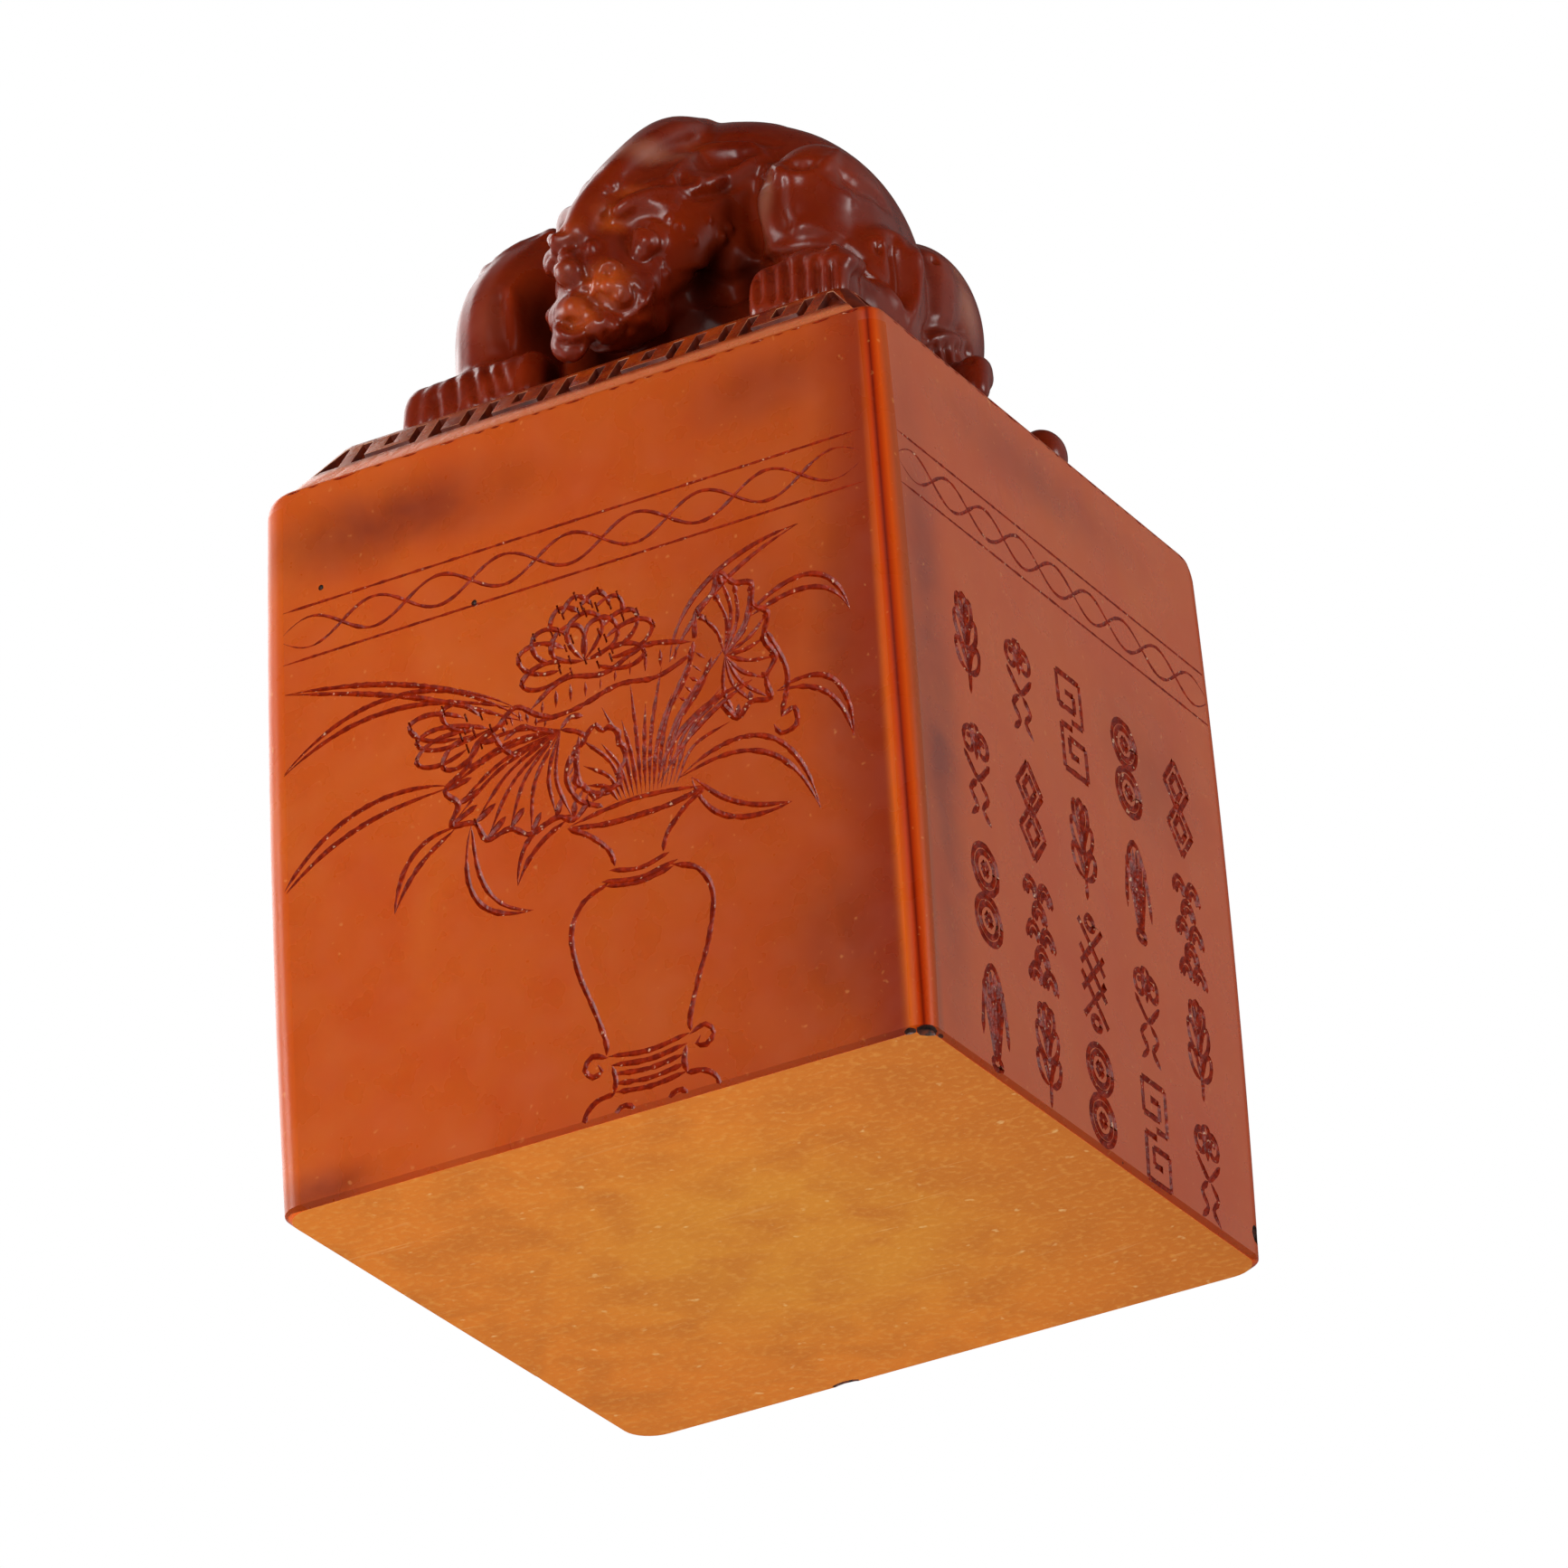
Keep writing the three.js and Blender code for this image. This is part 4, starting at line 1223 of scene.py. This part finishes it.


# Where glow is painted on the lion's thin stone, where shade is painted in its hollows and where sheen is
# painted on its rims: place, radii and amount

PAINTED_GLOW_PLACES = [
    (in_head(1.6, -7.4, 6.4), (2.6, 3, 2.4), 1.0), (in_head(-0.3, -8.2, 4.6), (2, 2.4, 2.2), 1.0),
    (in_head(1.2, -5.6, 12.2), (1.8, 2.4, 2.2), 0.75), (in_head(2.4, -4.4, 14.4), (2.2, 2, 1.1), 0.7),
    (in_head(-0.8, -7, 11.4), (1.8, 2.4, 1.6), 0.5), (in_head(-1.2, -8, 8), (1.6, 2, 1.6), 0.35),
    (in_head(4, 3, 20), (3, 4, 2), 0.35), ((-9, 9, 13), (4, 4, 3), 0.4), ((4, 18, 26), (12, 12, 2), 0.4),
]
PAINTED_SHADE_PLACES = [
    (in_head(5.8, -1, 9.6), (3.8, 4.5, 6.5), 0.95),
    ((4.6, 6.2, 7), (6, 4.6, 10), 1.0), (in_head(3, -3, 3.4), (4, 4, 3), 0.8),
    (in_head(-4, -2, 4), (4, 6, 7), 0.8), ((-6, 4, 1), (4, 5, 5), 0.8),
    ((-7.6, 4.4, 8.2), (2.6, 4, 5.5), 0.9), ((7.2, 7.4, 8), (3.2, 4, 6), 0.95),
]
PAINTED_SHEEN_PLACES = [
    ((1.8, 4.2, 18.7), (4.4, 4, 2.0), 0.42), ((9.6, 6.8, 13), (0.9, 2.2, 5.2), 0.5),
    ((15.2, 25.2, 11.4), (1.6, 2.2, 3.8), 0.45),
    ((14.6, 25.4, 14.6), (1.4, 2, 1.6), 0.3), ((-11, 3.6, 8), (1.6, 2, 5), 0.2),
]

BROAD_STROKES = [
    # crest and forehead
    ([(668, 200), (690, 176), (717, 155), (745, 143), (775, 137)], 0.8, 0.25, "face"),
    ([(692, 196), (710, 178), (740, 163), (773, 154), (815, 153), (860, 160)], 0.5, -0.4, "face"),
    # hollow round the eye, band of the lid, cheek and jaw
    (circle(713, 267, 30, 60, 250), 0.6, -0.45, "face"),
    ([(686, 268), (683, 250), (692, 236), (712, 228), (736, 226), (756, 234)], 0.55, 0.35, "face"),
    ([(662, 388), (690, 377), (720, 368), (752, 352), (790, 326)], 0.9, 0.4, "face"),
    ([(702, 352), (726, 342), (752, 330), (776, 316)], 0.5, -0.35, "face"),
    # ear
    ([(747, 190), (750, 182), (760, 174), (784, 165), (815, 161), (834, 164), (844, 173)], 0.5, 0.5, "face"),
    ([(772, 186), (796, 178), (824, 171)], 0.85, -0.5, "face"),
    ([(776, 205), (800, 197), (825, 184), (843, 173)], 0.45, 0.45, "face"),
    ([(762, 219), (790, 212), (815, 200), (838, 184)], 0.5, -0.5, "face"),
    # between head and arm, then the arm with its rim, folds and recess
    ([(800, 296), (808, 334)], 2.0, -1.8, ""),
    ([(838, 190), (831, 210), (832, 235), (837, 256), (842, 280)], 0.75, -1.0, ""),
    ([(849, 187), (843, 205), (844, 228), (851, 250), (857, 274)], 0.75, 0.55, "body"),
    ([(865, 196), (860, 214), (863, 236), (872, 258)], 0.6, -0.4, "body"),
    ([(850, 185), (868, 191), (888, 193), (905, 187), (920, 176), (928, 162)], 0.6, 0.45, "body"),
    ([(870, 181), (888, 184), (904, 178)], 0.7, -0.6, "body"),
    ([(905, 196), (925, 212), (946, 222)], 0.7, 0.3, "body"),
    ([(928, 190), (946, 205), (966, 214), (984, 232)], 0.6, -0.4, "body"),
    ([(872, 256), (900, 250), (927, 262), (950, 280)], 0.6, 0.35, ""),
    ([(990, 262), (997, 290), (999, 316), (995, 334)], 0.75, -0.9, "body"),
    ([(926, 281), (945, 292), (964, 307), (985, 330), (1001, 347)], 0.55, 0.5, ""),
    ([(1010, 270), (1016, 296), (1013, 325), (1006, 358)], 0.5, 0.45, "body"),
    ([(835, 294), (850, 279), (872, 274), (912, 271), (930, 277)], 0.4, 0.35, ""),
    # far foreleg's ridge, hind leg's paw
    ([(566, 322), (570, 350), (572, 384)], 0.6, 0.35, ""),
    ([(552, 320), (556, 350), (562, 384)], 0.7, -0.35, ""),
    ([(1022, 379), (1042, 372), (1062, 378)], 0.5, 0.5, "body"),
    ([(1020, 366), (1042, 360), (1066, 367)], 0.45, -0.45, "body"),
    # spine, mane and tail, behind
    ([(0.8, 18, 25.6), (0.6, 21, 25), (0, 27, 21.6), (-0.3, 33, 17), (-0.3, 37, 11)], 0.9, 0.4, ""),
    ([(-1.2, 15, 26), (-1.4, 21, 25), (-2, 28, 21), (-2.2, 33, 16.6), (-1.8, 36.6, 11)], 0.5, -0.4, ""),
    ([(3, 15, 26), (2.6, 21, 25), (2, 28, 21), (1.6, 33, 16.6), (1.2, 36.6, 11)], 0.5, -0.4, ""),
    ([(5, 13, 25.6), (6.4, 18, 24), (7, 23, 20)], 0.6, -0.4, "body"),
    ([(7.4, 13, 24), (9, 17, 21.6), (9.6, 20.6, 17.6)], 0.6, -0.35, "body"),
    ([(0, 39.3, 8.6), (6, 40, 4.8), (12.4, 39, 3.2), (16.6, 35.4, 3)], 0.3, -0.35, ""),
    ([(0, 38.6, 10), (6, 39.4, 6.1), (12.4, 38.3, 4.5), (16, 34.6, 4.6)], 0.3, -0.35, ""),
]
FINE_STROKES = [
    # forehead
    ([(666, 216), (680, 211), (692, 205)], 0.26, -0.28, "face"), ([(677, 206)], 0.4, 0.2, "face"),
    ([(740, 186), (757, 169), (782, 159), (815, 156), (836, 159)], 0.32, -0.3, "face"),
    # brow and eye
    ([(677, 246), (683, 235), (697, 223), (717, 216), (740, 213), (757, 218)], 0.42, 0.45, "face"),
    ([(690, 214), (712, 205), (735, 201), (753, 207)], 0.3, -0.3, "face"),
    (circle(713, 268, 21), 0.32, -0.5, "face"), ([(714, 267)], 0.5, 0.22, "face"),
    ([(741, 242)], 0.34, 0.3, "face"), ([(751, 249)], 0.36, 0.3, "face"), ([(767, 267)], 0.34, 0.25, "face"),
    ([(784, 243)], 0.34, 0.25, "face"), ([(799, 263)], 0.4, 0.3, "face"), ([(807, 253)], 0.36, 0.3, "face"),
    ([(729, 290)], 0.4, 0.25, "face"), ([(737, 303)], 0.34, 0.2, "face"),
    # nose
    ([(617, 268)], 0.8, 0.2, ""), (circle(617, 267, 13, 120, 200), 0.2, -0.3, ""),
    ([(655, 273)], 0.5, 0.2, ""),
    (circle(655, 273, 11, 150, 230), 0.2, -0.2, ""), ([(634, 262), (636, 276), (642, 288)], 0.4, -0.4, ""),
    # lips
    ([(627, 302)], 1.1, 0.45, ""), (circle(627, 302, 18, 150, 250), 0.2, -0.3, ""),
    (coil(627, 303, 13, 200, 1.2), 0.16, -0.2, ""),
    ([(645, 296), (652, 312), (646, 326)], 0.35, -0.4, ""),
    ([(672, 300)], 0.4, -0.45, "face"), (circle(677, 303, 12, 190, 150), 0.22, 0.35, "face"),
    ([(654, 316)], 0.6, 0.3, ""), ([(671, 316)], 0.6, 0.35, "face"),
    ([(664, 324), (672, 332), (672, 344)], 0.26, -0.3, ""),
    (circle(687, 327, 18, 300, 260), 0.2, -0.35, "face"), (coil(687, 327, 11, 60, 1.2), 0.18, -0.28, "face"),
    ([(687, 327)], 0.7, 0.25, "face"), ([(709, 340), (716, 328), (723, 314)], 0.24, 0.35, "face"),
    ([(650, 330), (660, 336), (664, 352)], 0.3, -0.4, ""),
    # chin, lower lip and beard
    ([(637, 341)], 1.0, 0.3, ""), ([(630, 358)], 0.5, -0.5, ""),
    ([(615, 350), (617, 365), (628, 374), (641, 371), (650, 360)], 0.3, 0.4, ""),
    ([(616, 379), (632, 380), (646, 378)], 0.26, -0.35, ""),
    ([(622, 388), (633, 397), (646, 388)], 0.24, 0.25, ""),
    ([(655, 372), (660, 384)], 0.24, -0.3, ""), ([(668, 366), (676, 380)], 0.24, -0.3, "face"),
    ([(680, 361)], 0.42, 0.35, "face"), ([(697, 368)], 0.42, 0.3, "face"), ([(722, 360)], 0.36, 0.25, "face"),
    # ear's root
    ([(747, 188), (743, 197), (747, 207), (758, 210), (772, 206), (774, 199), (765, 196)],
     0.28, 0.35, "face"),
    ([(756, 192), (753, 200), (760, 204)], 0.26, -0.35, "face"),
    # pits in the stone
    ([(971, 266), (974, 280)], 0.3, -0.55, ""), ([(1033, 288)], 0.4, -0.4, ""),
]
for across, top in ((836, 298), (852, 290), (868, 286), (885, 284), (902, 284), (918, 288)):
    FINE_STROKES.append(([(across, top), (across + 1, top + 20), (across + 2, 334)], 0.26, -0.5, ""))
for top, foot in (((481, 434), (485, 464)), ((502, 418), (504, 455)), ((521, 407), (527, 445)),
                  ((538, 402), (546, 437)), ((552, 404), (562, 431))):
    FINE_STROKES.append(([top, foot], 0.26, -0.3, ""))
for across in (1034, 1046, 1058, 1070):
    FINE_STROKES.append(([(across, 380), (across + 4, 402)], 0.24, -0.4, "body"))


# How closely a stroke follows its curve: in the view's pixels, or in millimetres on the skin

VIEW_STEP = 5
SKIN_STEP = 0.4


def ray_to(across, down):
    """The direction from the camera to a point of the view."""
    reach = bpy.context.scene.seal_studio.lens / SENSOR_WIDTH * PHOTO_WIDTH
    middle = PHOTO_WIDTH / 2
    return view_rotation() @ Vector(((across - middle) / reach, (middle - down) / reach, -1)).normalized()


def traced(surface, points):
    """Lays a stroke on the lion: as seen from the view, or nearest where its points have a height too."""
    if len(points) > 1:
        points = smooth_line(points, VIEW_STEP if len(points[0]) == 2 else SKIN_STEP)
    line = []
    for point in points:
        if len(point) == 2:
            place, normal, _, _ = surface.ray_cast(VIEW_POINT, ray_to(float(point[0]), float(point[1])))
        else:
            place, normal, _, _ = surface.find_nearest(on_platform(*(float(c) for c in point)) * MM)
        if place is not None:
            line.append((place, normal))
    return line


# Mirror planes: a place on the plane and its level normal

MIRRORS = {"face": ((-1.1, 2.9, 0), (0.954, -0.3, 0)), "body": ((0, 0, 0), (1, 0, 0))}

# A mirrored stroke may lie this far off the skin, and is left out where the view reaches it this closely

TWIN_REACH = 2.5 * MM
SEEN_REACH = 1.5 * MM


def over_the_middle(surface, line, middle, across):
    """The same stroke on the other half of the face or the body, where the view doesn't show it."""
    middle = on_platform(*middle) * MM
    across = Vector(across)
    twin = []
    for place, _ in line:
        off = (place - middle).dot(across)
        mate, turned, _, reach = surface.find_nearest(place - 2 * off * across)
        if mate is None or reach > TWIN_REACH:
            continue
        first = surface.ray_cast(VIEW_POINT, (mate - VIEW_POINT).normalized())[0]
        if first is None or (first - mate).length > SEEN_REACH:
            twin.append((mate, turned))
    return twin


def carve_stroke(points, normals, line, half_width, height):
    """Moves the skin's points along its normals, by how near they lie to the stroke."""
    spots = np.array([tuple(place / MM) for place, _ in line])
    facing = np.array([tuple(normal) for _, normal in line])
    low, high = spots.min(0) - 3 * half_width, spots.max(0) + 3 * half_width
    near = np.flatnonzero(np.all((points > low) & (points < high), axis=1))
    if len(near) == 0:
        return
    best = np.full(len(near), 1e9)
    share = np.zeros(len(near))
    front = np.zeros(len(near))
    count = max(1, len(spots) - 1)
    for i in range(count):
        a = spots[i]
        b = spots[min(i + 1, len(spots) - 1)]
        along = b - a
        length = max(1e-9, along @ along)
        t = np.clip((points[near] - a) @ along / length, 0, 1)
        away = np.linalg.norm(points[near] - a - t[:, None] * along, axis=1)
        better = away < best
        best[better] = away[better]
        share[better] = (i + t[better]) / count
        front[better] = normals[near][better] @ facing[i]
    taper = np.clip(np.minimum(share, 1 - share) / 0.16, 0.25, 1) ** 0.5 if len(spots) > 1 else 1.0
    if len(spots) == 1:
        profile = np.sqrt(np.clip(1 - (best / half_width) ** 2, 0, 1))
    else:
        profile = np.exp(-0.9 * (best / (half_width * taper)) ** 2)
    amount = height * profile * taper * (front > 0.2)
    points[near] += normals[near] * amount[:, None]


def carve_strokes(lion, strokes):
    """Carves or raises the skin along every stroke, and along its twin where it has one."""
    count = len(lion.data.vertices)
    points = np.empty(count * 3)
    lion.data.vertices.foreach_get("co", points)
    points = points.reshape(count, 3) / MM
    normals = np.empty(count * 3)
    lion.data.vertices.foreach_get("normal", normals)
    normals = normals.reshape(count, 3)
    surface = BVHTree.FromObject(lion, bpy.context.evaluated_depsgraph_get())
    for places, half_width, height, twin in strokes:
        line = traced(surface, places)
        if not line:
            raise RuntimeError(f"the stroke at {places[0]} misses the lion")
        carve_stroke(points, normals, line, half_width, height)
        if twin:
            other = over_the_middle(surface, line, *MIRRORS[twin])
            if other:
                carve_stroke(points, normals, other, half_width, height)
    lion.data.vertices.foreach_set("co", (points * MM).ravel())
    lion.data.update()


class SEAL_OT_shoulder(bpy.types.Operator):
    """Softens the fret band that slopes from the block's rim up to the lion's platform"""

    bl_idname = "seal.shoulder"
    bl_label = "Fret shoulder"

    def execute(self, context):
        mesh = bpy.data.objects["fret_shoulder"].data.copy()
        shoulder = bpy.data.objects.new("carved_fret_shoulder", mesh)
        context.scene.collection.objects.link(shoulder)
        mesh.materials.clear()
        activate(shoulder)
        bpy.ops.object.mode_set(mode="EDIT")
        bpy.ops.mesh.select_all(action="SELECT")
        bpy.ops.mesh.remove_doubles(threshold=1e-6)
        bpy.ops.object.mode_set(mode="OBJECT")
        mesh.materials.append(fret_stone())
        mesh.materials.append(arris_highlight_stone())
        mesh.materials.append(sunk_ground_stone())
        # The bevel's faces take the second material, the painted highlight on the arrises.
        apply_modifier(shoulder, "BEVEL", width=0.1 * MM, segments=2, limit_method="ANGLE",
                       angle_limit=math.radians(28), material=1)
        foot = []
        for axis in (0, 1):
            along = [vertex.co[axis] / MM for vertex in mesh.vertices]
            foot += [min(along), max(along)]
        for face in mesh.polygons:
            if sunk(face.center / MM, *foot):
                face.material_index = 2
        bpy.ops.object.shade_smooth_by_angle(angle=math.radians(40))
        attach(shoulder, "root")
        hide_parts("fret_shoulder")
        return {"FINISHED"}


# The shoulder's slope, the rims along it and how far below it the fret's ground begins

SHOULDER_RISE = 4.2
SHOULDER_RUN = 3.45
RIM = 0.2
GROUND_DEPTH = 0.2


def sunk(place, left, right, front, back):
    """Whether a place on the shoulder lies below the level of the fret's bars."""
    rise = place.z - BLOCK_HEIGHT
    inset = rise * SHOULDER_RUN / SHOULDER_RISE
    depth = min(place.x - left, right - place.x, place.y - front, back - place.y) - inset
    return RIM < rise < SHOULDER_RISE - RIM and depth > GROUND_DEPTH


def sunk_ground_stone():
    """The fret's sunk ground: dark red that makes the bars stand out."""
    material, tree, at = fresh_material("dark_fret_ground")
    ground_mottle = add_node(tree, "TexNoise", [at, 1 / (1.2 * MM), 3])
    # Darker red in the sunk ground than on the bars
    colour = layered(tree, "481006", [(add_node(tree, "MapRange", [ground_mottle, 0.35, 0.65]), "742408")])
    finish_stone(tree, colour, roughness=0.4, bumps=ground_mottle, strength=0.4, specular=0.3)
    return material


def arris_highlight_stone():
    """The fret's arrises, paler than the bars: a painted highlight along the bevelled edges."""
    material, tree, at = fresh_material("painted_highlight_arrises")
    arris_mottle = add_node(tree, "TexNoise", [at, 1 / (1.6 * MM), 3])
    colour = layered(tree, "8E3A20", [(add_node(tree, "MapRange", [arris_mottle, 0.35, 0.6]), "CE8A62")])
    finish_stone(tree, colour, roughness=0.3, bumps=arris_mottle, strength=0.2)
    return material


def fret_stone():
    """The shoulder: an amber rim lightened by a painted highlight, red stone smoked and waxed above it, and a
    painted sheen at its left end.
    """
    material, tree, at = fresh_material("smoked_red_fret")
    x, _, z = add_node(tree, "SeparateXYZ", [at]).outputs
    wander = add_node(tree, "TexNoise", [at, 1 / (3 * MM), 2])
    level = add_node(tree, "Math", [wander, 0.6 * MM, z], operation="MULTIPLY_ADD")
    drift = add_node(tree, "TexNoise", {
        "Vector": at, "Scale": 1 / (2.5 * MM), "Detail": 3, "Distortion": 0.5,
    })
    sheen_to_left = add_node(tree, "MapRange", [x, -4 * MM, -18 * MM])
    sheen_patches = add_node(tree, "MapRange", [drift, 0.3, 0.6, 0.45, 0.75])
    skin = layered(tree, "6E1C08", [
        (add_node(tree, "MapRange", [drift, 0.35, 0.7]), "B0440E"),
        # Painted sheen: paler pink towards the band's left end
        (add_node(tree, "Math", [sheen_to_left, sheen_patches], operation="MULTIPLY"), "C27A5C"),
    ])
    # Painted highlight: the pale amber rim below a wandering level, under the smoked red
    colour = layered(tree, "DC7446", [(add_node(tree, "MapRange", [level, 55.6 * MM, 56.1 * MM]), skin)])
    polish = add_node(tree, "TexNoise", [at, 1 / (1.5 * MM), 3])
    roughness = add_node(tree, "MapRange", [polish, 0.3, 0.7, 0.2, 0.34])
    bumps = add_node(tree, "TexNoise", [at, 1 / (0.8 * MM), 3])
    finish_stone(tree, colour, roughness, bumps, strength=0.4, glow=0.2, depths=(1.6, 0.3, 0.1))
    return material


class SEAL_OT_lion(bpy.types.Operator):
    """Carves the crouching lion that the seal is held by"""

    bl_idname = "seal.lion"
    bl_label = "Crouching lion"

    def execute(self, context):
        settings = context.scene.seal_lion
        lion = roughed_lion(settings.grain)
        lion.name = lion.data.name = "crouching_lion"
        apply_modifier(lion, "SMOOTH", factor=0.5, iterations=6)
        carve_strokes(lion, BROAD_STROKES)
        apply_modifier(lion, "SMOOTH", factor=0.5, iterations=3)
        carve_strokes(lion, FINE_STROKES)
        apply_modifier(lion, "SMOOTH", factor=0.5, iterations=2)
        level_foot(lion)
        lion.data.materials.append(dark_stone(settings, "smoked_red_soapstone", specular=0.32))
        # A copy with almost no gloss, for the faces deep in the painted shade
        lion.data.materials.append(dark_stone(settings, "shaded_red_hollows", specular=0.04))
        hollows = on_lion(PAINTED_SHADE_PLACES)
        for face in lion.data.polygons:
            face.material_index = int(in_hollow(face.center / MM, hollows))
        bpy.ops.object.shade_smooth()
        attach(lion, "root")
        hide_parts(*LION_NODES)
        return {"FINISHED"}


def on_lion(places):
    """Places on the lion, each with its radii and amount, as points of the seal."""
    return [(on_platform(*place), radii, amount) for place, radii, amount in places]


def in_hollow(point, hollows):
    """Whether a point lies well inside one of the places of painted shade, where the stone's gloss is dulled
    too.
    """
    for centre, radii, _ in hollows:
        if sum((c / r) ** 2 for c, r in zip(point - centre, radii)) < 0.75:
            return True
    return False


def dark_stone(settings, name, specular):
    """Smoked and oiled soapstone: deep red-brown with a soft gloss, with painted orange glow where it is
    thin, painted shade in its hollows and painted sheen on its rims.
    """
    material, tree, at = fresh_material(name)
    drift = add_node(tree, "TexNoise", {"Vector": at, "Scale": 1 / (6 * MM), "Detail": 4, "Distortion": 0.5})
    veil = add_node(tree, "TexNoise", {"Vector": at, "Scale": 1 / (2 * MM), "Detail": 3, "Distortion": 0.4})
    veins = add_node(tree, "MapRange", [veil, 0.3, 0.6, 0.6, 1.0])
    thin = strongest(tree, at, on_lion(PAINTED_GLOW_PLACES))
    colour = layered(tree, settings.dark, [
        (add_node(tree, "MapRange", [drift, 0.35, 0.7]), "88280A"),
        # Painted glow where the stone is thin
        (add_node(tree, "Math", [thin, veins], operation="MULTIPLY"), settings.glow),
        # Painted shade in the hollows between head, arms and paws
        (strongest(tree, at, on_lion(PAINTED_SHADE_PLACES)), "2A0703"),
        # Painted sheen: pale pink on the forehead and on the legs' rims
        (strongest(tree, at, on_lion(PAINTED_SHEEN_PLACES)), "C88468"),
    ])
    polish = add_node(tree, "TexNoise", [at, 1 / (2.5 * MM), 3])
    roughness = add_node(tree, "MapRange", [polish, 0.3, 0.7, 0.22, 0.36])
    bumps = add_node(tree, "TexNoise", [at, 1 / (1.2 * MM), 3])
    finish_stone(tree, colour, roughness, bumps, strength=0.2, specular=specular,
                 glow=0.22, depths=(2.0, 0.45, 0.1))
    return material


class SEAL_PT_panel(bpy.types.Panel):
    """Lists the steps that build the seal."""

    bl_label = "Carved stone seal"
    bl_idname = "SEAL_PT_panel"
    bl_space_type = "VIEW_3D"
    bl_region_type = "UI"
    bl_category = "Seal"

    def draw(self, context):
        for step in STEPS:
            self.layout.operator(step.bl_idname)


STEPS = [SEAL_OT_stage, SEAL_OT_block, SEAL_OT_shoulder, SEAL_OT_lion]
CLASSES = [SealBlockSettings, SealLionSettings, SealStudioSettings, *STEPS, SEAL_PT_panel]


def register():
    for cls in CLASSES:
        bpy.utils.register_class(cls)
    bpy.types.Scene.seal_block = PointerProperty(type=SealBlockSettings)
    bpy.types.Scene.seal_lion = PointerProperty(type=SealLionSettings)
    bpy.types.Scene.seal_studio = PointerProperty(type=SealStudioSettings)


def unregister():
    del bpy.types.Scene.seal_studio
    del bpy.types.Scene.seal_lion
    del bpy.types.Scene.seal_block
    for cls in reversed(CLASSES):
        bpy.utils.unregister_class(cls)


def main():
    register()
    for step in STEPS:
        group, name = step.bl_idname.split(".")
        getattr(getattr(bpy.ops, group), name)()


if __name__ == "__main__":
    main()
